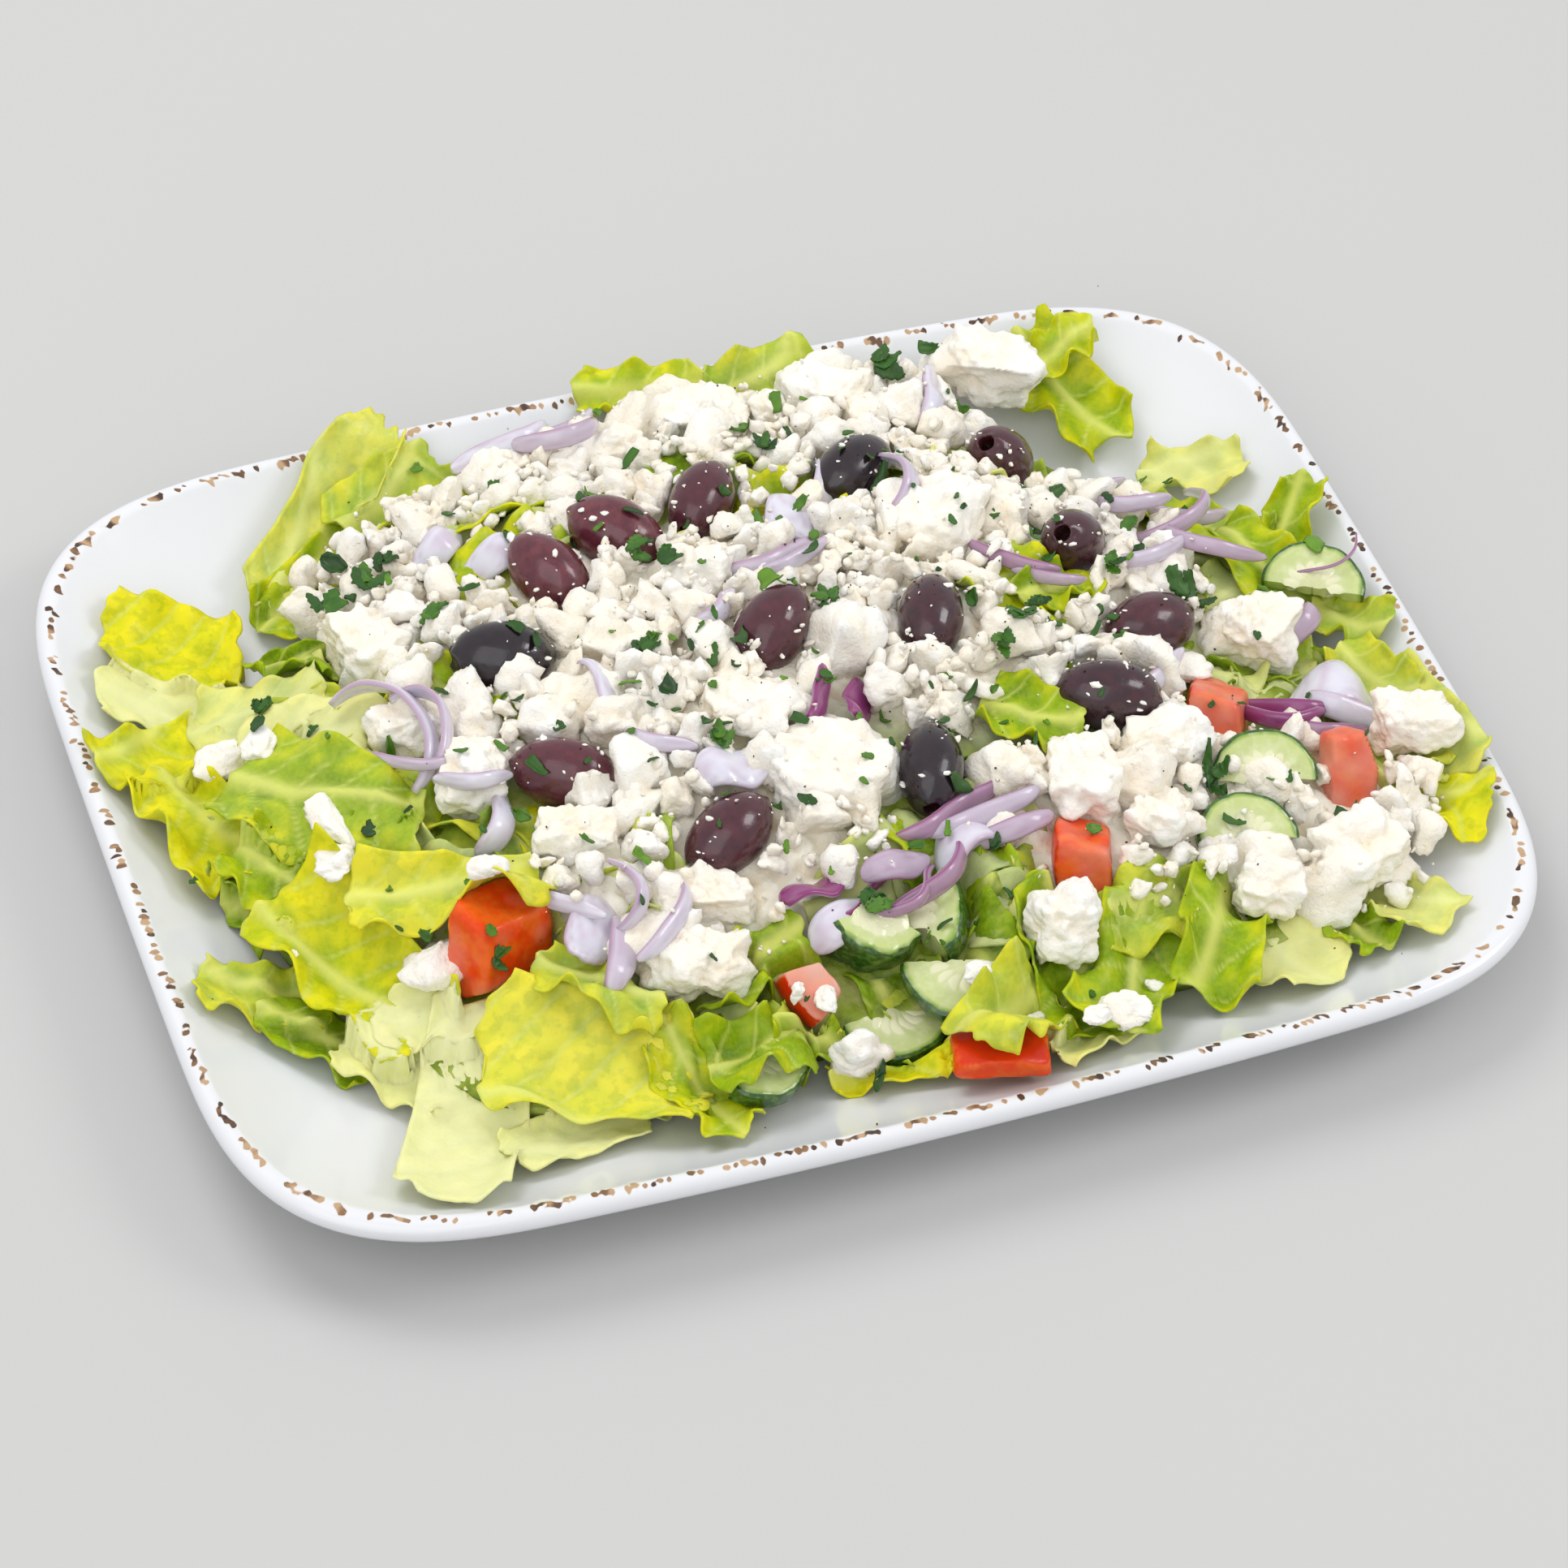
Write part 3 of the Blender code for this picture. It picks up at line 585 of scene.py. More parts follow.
class Ground:
    """Layers of heights on a square grid: bare is the platter alone, height is whatever lies
    uppermost, soft is that blurred, crown is the cucumber, tomato and broad onion, which the
    leaves stay under, and roof is the heap's own top.  shut marks what crumbs keep off."""

    STEP = 1.0
    LOW = np.array([-162.0, -130.0])

    def __init__(self):
        self.x = np.arange(self.LOW[0], -self.LOW[0] + 1, self.STEP)
        self.y = np.arange(self.LOW[1], -self.LOW[1] + 1, self.STEP)
        self.bare = dish_height(*np.meshgrid(self.x, self.y, indexing="ij"))
        self.height, self.soft, self.crown, self.roof = (self.bare.copy() for _ in range(4))
        self.shut = np.zeros(self.bare.shape, bool)

    def cell(self, x, y):
        """The indices of the grid cell nearest to each place."""
        i = np.clip(np.rint((x - self.LOW[0]) / self.STEP).astype(int), 0, len(self.x) - 1)
        j = np.clip(np.rint((y - self.LOW[1]) / self.STEP).astype(int), 0, len(self.y) - 1)
        return i, j

    def read(self, layer, x, y):
        """A layer's value at each place, blended between the four cells round it."""
        px = np.clip((x - self.LOW[0]) / self.STEP, 0, len(self.x) - 1.001)
        py = np.clip((y - self.LOW[1]) / self.STEP, 0, len(self.y) - 1.001)
        i, j = px.astype(int), py.astype(int)
        fx, fy = px - i, py - j
        return ((layer[i, j] * (1 - fx) + layer[i + 1, j] * fx) * (1 - fy)
                + (layer[i, j + 1] * (1 - fx) + layer[i + 1, j + 1] * fx) * fy)

    def at(self, x, y):
        return self.read(self.height, x, y)

    def above_dish(self, x, y):
        """How much lies on the platter at each place."""
        return self.at(x, y) - self.read(self.bare, x, y)

    def clear_of_dish(self, points):
        """The points, with those sunk into the platter raised to just over its upper face."""
        face = self.read(self.bare, points[:, 0], points[:, 1]) + 0.2
        return np.column_stack([points[:, :2], np.maximum(points[:, 2], face)])

    def raise_to(self, points):
        np.maximum.at(self.height, self.cell(points[:, 0], points[:, 1]), points[:, 2])

    def raise_crown(self, points):
        np.maximum.at(self.crown, self.cell(points[:, 0], points[:, 1]), points[:, 2])

    def close_off(self, points, reach):
        """Marks the places under the points, and as many cells round them, as covered."""
        i, j = self.cell(points[:, 0], points[:, 1])
        for di, dj in itertools.product(range(-reach, reach + 1), repeat=2):
            if di * di + dj * dj <= reach * reach:
                near = np.clip(i + di, 0, len(self.x) - 1), np.clip(j + dj, 0, len(self.y) - 1)
                self.shut[near] = True

    def add_crown(self):
        self.height = np.maximum(self.height, self.crown)

    def soften(self, reach):
        """Blurs the heights by two running means in each direction."""
        self.soft = np.maximum(blurred(self.height, reach, 2), self.bare)


def running_mean(layer, reach, axis):
    """The mean over a window of cells to each side, with the border repeated."""
    pad = [(0, 0), (0, 0)]
    pad[axis] = (reach + 1, reach)
    total = np.cumsum(np.pad(layer, pad, mode="edge"), axis=axis)
    high = np.take(total, np.arange(2 * reach + 1, total.shape[axis]), axis)
    low = np.take(total, np.arange(0, total.shape[axis] - 2 * reach - 1), axis)
    return (high - low) / (2 * reach + 1)


def blurred(layer, reach, times):
    for axis in (0, 1) * times:
        layer = running_mean(layer, reach, axis)
    return layer


def surface_samples(node, fineness):
    """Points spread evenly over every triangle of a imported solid, in mm."""
    mesh = NODES[node].data
    mesh.calc_loop_triangles()
    corners = np.zeros(len(mesh.loop_triangles) * 3, np.int32)
    mesh.loop_triangles.foreach_get("vertices", corners)
    place = np.zeros(len(mesh.vertices) * 3, np.float32)
    mesh.vertices.foreach_get("co", place)
    triangles = place.reshape(-1, 3)[corners.reshape(-1, 3)] / MM
    first, second = np.meshgrid(np.linspace(0, 1, fineness), np.linspace(0, 1, fineness))
    keep = first + second <= 1
    weights = np.stack([first[keep], second[keep], (1 - first - second)[keep]], -1)
    return np.einsum("sk,tkc->tsc", weights, triangles).reshape(-1, 3)


def triangles_of(node):
    return surface_samples(node, 2).reshape(-1, 3, 3)


def closed_over(layer, reach):
    """Hollows narrower than the reach filled: the highest value nearby, then the lowest of
    those nearby."""
    for pick in (np.maximum, np.minimum):
        for axis in (0, 1):
            widest = layer
            for shift in range(-reach, reach + 1):
                widest = pick(widest, np.roll(layer, shift, axis))
            layer = widest
    return layer


TOPPINGS = sorted(name for name in NODES if name not in ("platter", "salad_bed"))
NO_CEILING = 999.0


def toppings(kind):
    return [name for name in TOPPINGS if name.startswith(kind)]


def box_in_mm(node):
    return (np.array(corner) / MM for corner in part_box(node))


def topping_ceiling(ground):
    """The lowest height of any topping over each place, or a far height where there is none."""
    ceiling = np.full(ground.height.shape, NO_CEILING)
    for name in TOPPINGS:
        points = surface_samples(name, 7)
        np.minimum.at(ceiling, ground.cell(points[:, 0], points[:, 1]), points[:, 2])
    return ceiling


# ---------------------------------------------------------------- core

CORE_SINK = 5.0                 # how far the core stays under the heap's solid
CORE_AROUND, CORE_OUT, CORE_UNDER = 520, 110, 5     # points round, and rings out and back
HEAP_MIDDLE = np.array([2.0, 4.0])
HEAP_BEARINGS = 120

# Where crumbled feta lies: middle x, y and half sizes of ovals, in mm.
FETA_OVALS = ((-12, 24, 72, 48), (52, 20, 62, 52), (22, 88, 66, 26), (-30, -40, 42, 30),
              (72, -52, 44, 26), (116, -62, 24, 26), (-58, 64, 34, 36))


def feta_cover(x, y):
    """How thickly crumbs lie at each place: the highest of a few ovals' domes, up to 1, and
    below 0 outside them."""
    cover = np.full(np.shape(x), -1.0)
    for ox, oy, half_x, half_y in FETA_OVALS:
        cover = np.maximum(cover, 1 - ((x - ox) / half_x) ** 2 - ((y - oy) / half_y) ** 2)
    return cover


def heap_edge(points):
    """The heap's reach from its middle in every direction, smoothed round the ring."""
    away = points[:, :2] - HEAP_MIDDLE
    count = HEAP_BEARINGS
    bearing = ((np.arctan2(away[:, 1], away[:, 0]) / math.tau % 1) * count).astype(int) % count
    reach = np.zeros(count)
    np.maximum.at(reach, bearing, np.hypot(away[:, 0], away[:, 1]))
    reach = running_mean(np.tile(reach, 3)[:, None], 1, 0)[count:2 * count, 0]
    turn = math.tau * np.arange(CORE_AROUND) / CORE_AROUND
    bearings = math.tau * (np.arange(count) + 0.5) / count
    return turn, np.interp(turn, bearings, reach, period=math.tau)


def make_core(ground, material):
    """The heap's own top surface sunk by a few millimetres: rings from the middle out and back
    underneath.  Relief is clumpy where leaves lie and grainy where cheese lies."""
    top = np.zeros(ground.height.shape)
    solid = surface_samples("salad_bed", 22)
    np.maximum.at(top, ground.cell(solid[:, 0], solid[:, 1]), solid[:, 2])
    top = blurred(closed_over(top, 9), 4, 2)
    turn, reach = heap_edge(solid)
    out, back = np.linspace(0.01, 1, CORE_OUT) ** 0.8, np.linspace(0.98, 0.05, CORE_UNDER)
    shares = np.concatenate([out, back])
    radius = shares[:, None] * (0.93 * reach - 4.0)
    x = HEAP_MIDDLE[0] + radius * np.cos(turn)
    y = HEAP_MIDDLE[1] + radius * np.sin(turn)
    under = ground.read(ground.bare, x, y) + 0.1
    ground.roof = top
    flat = np.stack([x, y, np.zeros_like(x)], -1)
    cheese = np.clip(feta_cover(x, y) * 2.2, 0, 1)
    leafy = 1.6 * lumps(flat, 9, 4) + 0.9 * rough(flat, 4, 5)
    grainy = 2.6 * lumps(flat, 6, 14) + 1.5 * lumps(flat, 2.6, 15) + 0.8 * rough(flat, 3, 16)
    height = ground.read(top, x, y) - CORE_SINK + leafy * (1 - cheese) + (grainy + 1) * cheese
    height = np.maximum(height, under + 0.4)
    height[CORE_OUT:] = under[CORE_OUT:]
    points = np.stack([x, y, height], -1).reshape(-1, 3)
    poles = np.array([[*HEAP_MIDDLE, height[0].mean()], [*HEAP_MIDDLE, under[-1].mean()]])
    points = np.concatenate([points, poles])
    # painted shade: how deep each place lies in the hollows between the grains
    hollow = np.clip(1 - grainy / 3.4, 0, 1)
    batch = Batch()
    batch.add(points, ball_faces(CORE_OUT + CORE_UNDER, CORE_AROUND),
              cheese=np.append(cheese.ravel(), [cheese[0, 0], 0]),
              crevice=np.append(hollow.ravel(), [hollow[0, 0], 0]))
    ground.raise_to(points[: CORE_OUT * CORE_AROUND])
    batch.build("salad_core", material, "lettuce", ["salad_bed"])


def core_paint():
    """Painted shadow in leaf green below, and cream where the crumbled cheese covers it, darkened
    in its hollows as painted shade.
    """
    paint = Paint("heap_core", Roughness=0.5)
    # painted shadow: dark leaf green for what shows through the gaps between the leaves
    green = paint.steps(paint.noise(9, 3), (0.3, (0.05, 0.10, 0.006)), (0.5, (0.22, 0.30, 0.012)),
                        (0.7, (0.50, 0.52, 0.16)))
    # painted shade: the cheese darkens towards brown in its hollows
    cream = paint.steps(paint.value("crevice"), (0.0, (0.87, 0.84, 0.74)),
                        (0.5, (0.82, 0.73, 0.56)), (1.0, (0.50, 0.36, 0.20)))
    colour = paint.blend(paint.value("cheese"), green, cream)
    return paint.finish(colour, None, paint.bump(paint.noise(1.2, 3), 0.4, 0.8))


# ---------------------------------------------------------------- lettuce

def softened(layer):
    """A grid of values spread to its neighbours: the widest nearby, then running means."""
    for axis in (0, 1):
        layer = np.maximum(layer, running_mean(layer, 2, axis) * 1.6)
    return blurred(layer, 1, 2)


LEAF_THICKNESS = 0.55
VEIN_SPACING = 7.5
LEAF_GAP = 0.25                 # least room over what lies below
TOPPING_GAP = 0.7               # and under a topping


def unit_grid(rows, cols):
    """Grid parameters u down the rows and v across the columns, each from -1 to 1."""
    return np.meshgrid(np.linspace(-1, 1, rows), np.linspace(-1, 1, cols), indexing="ij")


def leaf_sheet(seed, length, width, roll, ruffle, rib, tone, pale, rows, cols):
    """One chopped piece before it is laid: a rounded, ragged four-sided sheet, tapered and
    skewed, with a rib, slanting side veins and quilting between them, sine waves that grow
    towards its edges, and a roll about its length.  Returns its points and paint values."""
    rng = np.random.default_rng(seed)
    u, v = unit_grid(rows, cols)
    flat = np.stack([u * 2.1, v * 2.1, np.full_like(u, seed * 1.7)], -1)
    ragged = 1 + 0.17 * rough(flat, 1.2, 1) + 0.07 * rough(flat, 0.4, 2)
    a = u * length / 2 * np.sqrt(1 - 0.30 * v * v) * ragged
    taper = 1 - rng.uniform(0.05, 0.45) * u - rng.uniform(0, 0.25) * u * u
    b = v * width / 2 * np.sqrt(1 - 0.22 * u * u) * taper * ragged + a * rng.uniform(-0.22, 0.22)

    from_rib = b - rib * width / 2 - 1.2 * np.sin(a / 14)
    rib_half = 1.1 + 1.7 * (1 - u) / 2 * (0.5 + pale)
    rib_value = np.exp(-(from_rib / rib_half) ** 2)
    slant = a * 0.80 - np.abs(from_rib) * 0.62
    side = np.abs(np.sin(math.pi * slant / VEIN_SPACING))
    vein = np.exp(-(side / 0.16) ** 2) * (1 - rib_value) * 0.7
    quilt = side ** 0.6 * (1 - np.exp(-(from_rib / 5) ** 2))
    cells = rough(np.stack([a, b, np.full_like(a, seed * 3.0)], -1), 3.2, 7)

    wave = rng.uniform(0, math.tau, 4)
    frill = np.sin(u * rng.uniform(4, 6.5) + wave[0]) * np.abs(v) ** 2.4 * np.sign(v + 1e-9)
    frill = frill + np.sin(u * 9 + wave[1]) * np.abs(v) ** 4 * 0.6
    frill = frill + np.sin(v * rng.uniform(3, 5) + wave[2]) * np.abs(u) ** 3 * 0.8
    height = 2.3 * ruffle * frill + 1.0 * quilt + 0.55 * cells * (1 - rib_value)
    height = height + 1.5 * rib_value * (1 - u) / 2 + ruffle * 1.4 * rough(flat, 0.9, 3)
    bend = math.radians(roll) * v
    radius = width / 2 / math.radians(roll)
    b = radius * np.sin(bend) + (height * np.sin(bend) * -0.5)
    height = radius * (1 - np.cos(bend)) + height * np.cos(bend)

    edge = np.maximum(np.abs(v) ** 3, np.abs(u) ** 3)
    values = {
        "tone": tone + 0.12 * cells + 0.10 * edge,
        "rib": rib_value + vein,
        # the quilting's value, which the paint uses as painted shade in its creases
        "quilt": quilt - 0.6,
        "pale": pale * (1 - 0.45 * edge * (1 - pale)),
    }
    return np.stack([a, b, height], -1), values


class Leaves:
    """Lays leaf pieces one on another, keeps them under the toppings and gathers them."""

    def __init__(self, ground, ceiling):
        self.ground, self.ceiling = ground, ceiling
        self.batches = {}

    def lay(self, kind, sheet, values, x, y, heading, pitch, lift, over=False):
        """Turns a sheet, drapes it on the blurred heights, and presses it down where a
        topping comes.  Returns the points it covers."""
        ground = self.ground
        points = turned(turned(sheet.reshape(-1, 3), 0, pitch), heading).reshape(sheet.shape)
        px, py = points[..., 0] + x, points[..., 1] + y
        if over:
            ground.add_crown()
            ground.soften(3)
        base = ground.read(ground.soft, px, py)
        z = base + lift + points[..., 2] - min(points[..., 2].min() * 0.45, 0)
        z = np.maximum(z, ground.at(px, py) + LEAF_GAP)
        if not over:
            excess = z - self.ceiling[ground.cell(px, py)] + TOPPING_GAP
            z = z - softened(np.maximum(excess, 0))
        floor = ground.read(ground.bare, px, py) + 0.5
        points = np.stack([px, py, np.maximum(z, floor)], -1)
        body, faces = shell(points, LEAF_THICKNESS)
        both_sides = {name: np.tile(value.ravel(), 2) for name, value in values.items()}
        self.batches.setdefault(kind, Batch()).add(body, faces, **both_sides)
        ground.raise_to(points.reshape(-1, 3))
        return points.reshape(-1, 3)


# Leaf pieces laid round the edge, far side first, and a few on top of the heap:
# x, y, heading, length, width, roll, ruffle, lift, pitch, rib, tone, pale
EDGE_LEAVES = (
    (6, 113, -11, 32, 15, 40, 1.2, 2, 0, 0.2, 0.66, 0.0),
    (36, 110, 7, 30, 16, 30, 1.1, 3, 0, 0.3, 0.58, 0.1),
    (62, 102, -26, 22, 14, 20, 1.0, 2, 0, 0.0, 0.45, 0.1),
    (106, 92, -66, 38, 22, 45, 1.2, 3, 0, 0.1, 0.62, 0.0),
    (108, 99, 14, 20, 11, 20, 1.0, 4, 20, 0.0, 0.66, 0.0),
    (127, 60, -25, 24, 14, 30, 1.0, 2, 0, 0.4, 0.75, 0.5),
    (120, 40, -50, 34, 20, 30, 1.2, 2, 0, 0.2, 0.5, 0.1),
    (138, 29, 45, 24, 14, 40, 1.3, 3, 15, 0.1, 0.6, 0.0),
    (126, 16, -66, 38, 22, 25, 1.2, 3, 0, 0.2, 0.52, 0.0),
    (140, -3, -59, 20, 13, 30, 1.2, 2, 0, 0.0, 0.6, 0.1),
    (-78, 99, 44, 54, 20, 60, 0.8, 3, 0, 0.5, 0.74, 0.25),
    (-84, 85, 30, 34, 18, 40, 1.0, 2, 0, 0.3, 0.55, 0.0),
    (-60, 100, 20, 34, 18, 30, 1.0, 2, 0, 0.3, 0.6, 0.1),
    (-97, 55, -49, 24, 14, 60, 1.2, 3, 0, 0.2, 0.35, 0.0),
    (-122, 72, -22, 32, 26, 30, 1.1, 2, 0, -0.9, 0.82, 0.0),
    (-127, 52, -27, 34, 20, 25, 0.4, 2, 0, 0.0, 0.85, 0.75),
    (-134, 36, 17, 32, 18, 30, 1.3, 2, 0, 0.7, 0.80, 0.0),
    (-110, 40, -20, 30, 22, 20, 0.8, 2, 0, 0.2, 0.7, 0.5),
    (-131, 13, -76, 40, 22, 35, 1.6, 2, 0, 0.3, 0.78, 0.0),
    (-103, 24, -17, 34, 24, 20, 0.6, 3, 0, 0.0, 0.8, 0.7),
    (-106, 1, -52, 50, 28, 25, 1.2, 3, 0, 0.2, 0.52, 0.05),
    (-121, -10, -66, 26, 16, 30, 1.2, 2, 0, 0.3, 0.5, 0.0),
    (-131, -36, -12, 28, 18, 30, 1.2, 1, 0, 0.4, 0.66, 0.1),
    (-121, -49, -42, 30, 16, 20, 1.0, 1, 0, 0.2, 0.45, 0.0),
    (-111, -38, -66, 54, 25, 35, 1.6, 3, 0, -0.2, 0.74, 0.0),
    (-106, -62, -49, 30, 20, 20, 0.7, 1, 0, 0.2, 0.8, 0.7),
    (-96, -57, -17, 30, 17, 50, 0.7, 4, 0, 0.3, 0.85, 0.8),
    (-97, -80, -116, 60, 26, 25, 0.8, 2, 0, 0.6, 0.82, 0.86),
    (-78, -92, 10, 34, 15, 15, 0.5, 1, 0, 0.0, 0.85, 0.75),
    (-69, -80, -23, 48, 28, 25, 0.7, 4, 0, -1.0, 0.80, 0.12),
    (-49, -91, -70, 30, 18, 40, 1.1, 3, 0, 0.1, 0.66, 0.0),
    (-36, -88, 5, 23, 20, 30, 1.1, 2, 0, 0.1, 0.44, 0.0),
    (-5, -94, -12, 32, 13, 15, 0.8, 0.4, 0, 0.2, 0.8, 0.0),
    (19, -98, 32, 30, 20, 25, 1.2, 5, 0, 0.3, 0.72, 0.1),
    (37, -99, 21, 28, 17, 15, 0.8, 1, 0, 0.1, 0.8, 0.6),
    (37, -86, -96, 36, 18, 30, 1.0, 3, 0, 0.3, 0.4, 0.0),
    (52, -88, -129, 46, 24, 50, 1.1, 4, 0, 0.0, 0.48, 0.0),
    (56, -78, -3, 40, 17, 30, 1.3, 4, 0, 0.1, 0.62, 0.1),
    (86, -88, -57, 32, 25, 20, 0.6, 2, 0, 0.0, 0.86, 0.65),
    (105, -87, -72, 22, 14, 40, 1.3, 2, 0, 0.1, 0.42, 0.0),
    (118, -85, -68, 28, 18, 30, 0.7, 2, 0, 0.3, 0.72, 0.45),
    (136, -64, -39, 24, 17, 30, 1.2, 3, 0, 0.4, 0.82, 0.0),
    (140, -40, -80, 38, 20, 30, 0.8, 2, 0, 0.2, 0.62, 0.35),
    (137, -23, -74, 24, 15, 35, 1.0, 3, 0, 0.2, 0.66, 0.1),
    (-88, -34, -20, 42, 19, 35, 0.9, 5, 0, 0.3, 0.78, 0.1),
    (-64, -68, -38, 30, 15, 40, 1.2, 4, 0, 0.2, 0.62, 0.1),
    (50, -26, -41, 22, 19, 40, 0.9, 5, 0, 0.1, 0.50, 0.0),
    (70, 12, 20, 18, 14, 40, 1.0, 2, 0, 0.1, 0.5, 0.0),
    (-30, -68, 15, 28, 16, 30, 1.1, 2, 0, 0.1, 0.45, 0.0),
    (128, -52, 30, 30, 18, 25, 1.0, 1, 0, 0.1, 0.55, 0.2),
    (74, -86, 60, 34, 20, 30, 1.2, 2, 0, 0.2, 0.5, 0.0),
    (-22, -86, -30, 17, 10, 25, 1.0, 0.5, 0, 0.1, 0.5, 0.0),
)
OVER_LEAVES = (31, 33, 44, 46)  # those that lie over a topping
BARE_LEAVES = (31, 46, 47)      # those that cheese doesn't cover
FILL_LEAVES = 76
# Heading, length, width, roll, ruffle, rib and tone of the pieces under them.
FILL_RANGES = ((0, 360), (24, 40), (15, 26), (10, 50), (0.7, 1.3), (-0.5, 0.5), (0.15, 0.7))


def make_leaves(ground, ceiling, material):
    """Random pieces under everything first, then the listed ones."""
    leaves = Leaves(ground, ceiling)
    rng = np.random.default_rng(21)
    low, high = box_in_mm("salad_bed")
    laid = 0
    while laid < FILL_LEAVES:
        angle, share = rng.uniform(0, math.tau), math.sqrt(rng.uniform(0.2, 0.72))
        x = (low[0] + high[0]) / 2 + share * (high[0] - low[0]) / 2 * math.cos(angle)
        y = (low[1] + high[1]) / 2 + share * (high[1] - low[1]) / 2 * math.sin(angle)
        if ground.above_dish(x, y) < 2:
            continue
        if feta_cover(x, y) > 0.45 and rng.uniform() > 0.1:
            continue
        if laid % 6 == 0:
            ground.soften(4)
        heading, length, width, roll, ruffle, rib, tone = draws(rng, *FILL_RANGES)
        pale = rng.choice([0, 0, 0.1, 0.5])
        sheet = leaf_sheet(200 + laid, length, width, roll, ruffle, rib, tone, pale, 22, 16)
        leaves.lay("leaves_under", *sheet, x, y, heading, 0, 0.4)
        laid += 1
    for number, (x, y, heading, length, width, roll, ruffle, lift, *rest) in enumerate(EDGE_LEAVES):
        pitch, rib, tone, pale = rest
        if number % 4 == 0:
            ground.soften(4)
        kind = "leaves_pale" if pale > 0.3 else ("leaves_yellow" if tone > 0.6 else "leaves_green")
        sheet = leaf_sheet(500 + number, length, width, roll, ruffle, rib, tone, pale, 44, 30)
        covered = leaves.lay(kind, *sheet, x, y, heading, pitch, lift, number in OVER_LEAVES)
        if number in BARE_LEAVES:
            ground.close_off(covered, 1)
    for name, batch in leaves.batches.items():
        batch.build(name, material, "lettuce")


# ---------------------------------------------------------------- feta

def outward_reach(directions, triangles, centre):
    """Distance from the centre to the farthest crossing with the triangles along each
    direction, and that triangle, by solving for the crossing with all of them at once."""
    a = triangles[:, 0] - centre
    edge1, edge2 = triangles[:, 1] - triangles[:, 0], triangles[:, 2] - triangles[:, 0]
    cross = np.cross(directions[:, None], edge2[None])
    scale = (cross * edge1[None]).sum(-1)
    scale = np.where(np.abs(scale) < 1e-9, 1e-9, scale)
    u = (cross * -a[None]).sum(-1) / scale
    side = np.cross(-a, edge1)
    v = (directions[:, None] * side[None]).sum(-1) / scale
    t = (side * edge2).sum(-1)[None] / scale
    hit = (u > -0.01) & (v > -0.01) & (u + v < 1.02) & (t > 0)
    t = np.where(hit, t, 0)
    return t.max(1), t.argmax(1)


CURD = 1.9                      # size of the small rounded grains


def crumbled(points, size, seed):
    """Cheese texture: broad rough bulges and hollows, and small rounded grains on them, all
    moved straight out from the middle.  Returns the points and how deep in a hollow each lies,
    which the paint uses as painted shade."""
    away = points / np.maximum(np.linalg.norm(points, axis=1, keepdims=True), 1e-6)
    coarse = lumps(points, max(size * 0.34, 2.6), seed)
    grain = lumps(points, CURD, seed + 9)
    bulge = rough(points, max(size * 0.36, 2.2), seed + 4)
    ragged = rough(points, min(max(size * 0.16, 0.9), 2.4), seed + 14)
    fine = rough(points, min(max(size * 0.1, 0.7), 1.3), seed + 24)
    move = size * (0.06 * (coarse - 0.55) + 0.12 * bulge) + min(size * 0.075, 0.95) * ragged
    move = move + min(CURD, size * 0.2) * 0.34 * (grain - 0.5)
    move = move + min(size * 0.035, 0.42) * fine
    # painted shade: strongest deep in the hollows, none on the bulges and grains
    depth = 0.88 - coarse * 0.40 - grain * 0.40 - 0.35 * bulge - 0.3 * ragged
    crevice = np.clip(depth, 0, 1) ** 1.3
    return points + away * move[:, None], crevice


def broken_reach(directions, rng, planes, low, high):
    """How far a chunk broken along random planes reaches in each direction: the least of the
    planes' distances over the cosine of the angle to each."""
    normals = rng.normal(size=(3, planes))
    facing = directions @ (normals / np.linalg.norm(normals, axis=0))
    offset = rng.uniform(low, high, planes)
    return np.where(facing > 0.05, offset / np.maximum(facing, 0.05), 99).min(1)


def make_feta_chunks(ground, material):
    """Each packed chunk re-made as a fine skin: its own reach in every direction, broken along
    a few planes, then crumbled.  The chunks are gathered in two halves."""
    batches = Batch(), Batch()
    names = toppings("feta")
    rows, cols = 74, 104
    directions = ball_directions(rows, cols)
    for number, name in enumerate(names):
        rng = np.random.default_rng(300 + number)
        triangles = triangles_of(name)
        low, high = triangles.min((0, 1)), triangles.max((0, 1))
        centre = (low + high) / 2
        reach, _ = outward_reach(directions, triangles, centre)
        size = float(np.mean(high - low))
        reach = np.where(reach < 1, size / 2, reach) * 1.05
        reach = np.minimum(reach, broken_reach(directions, rng, 9, 0.40 * size, 0.66 * size))
        points, crevice = crumbled(directions * reach[:, None], size, number)
        points = ground.clear_of_dish(points + centre)
        batches[number % 2].add(points, ball_faces(rows, cols), crevice=crevice,
                                cream=0.10 * (number % 3))
        ground.raise_to(points)
    for number, batch in enumerate(batches):
        batch.build(f"feta_chunks_{number + 1}", material, "feta_cheese", names[number::2])


def crumb_shapes(rng, count, rows, cols, size):
    """Loose crumb patterns of the given size, broken along random planes and crumbled."""
    shapes = []
    directions = ball_directions(rows, cols)
    for number in range(count):
        reach = broken_reach(directions, rng, rng.integers(6, 10), 0.26, 0.52)
        reach = np.minimum(reach, 0.68) * size
        stretch = rng.uniform(0.6, 1.4, 3)
        points, crevice = crumbled(directions * reach[:, None] * stretch, size, 60 + number)
        shapes.append((points / size, crevice))
    return shapes


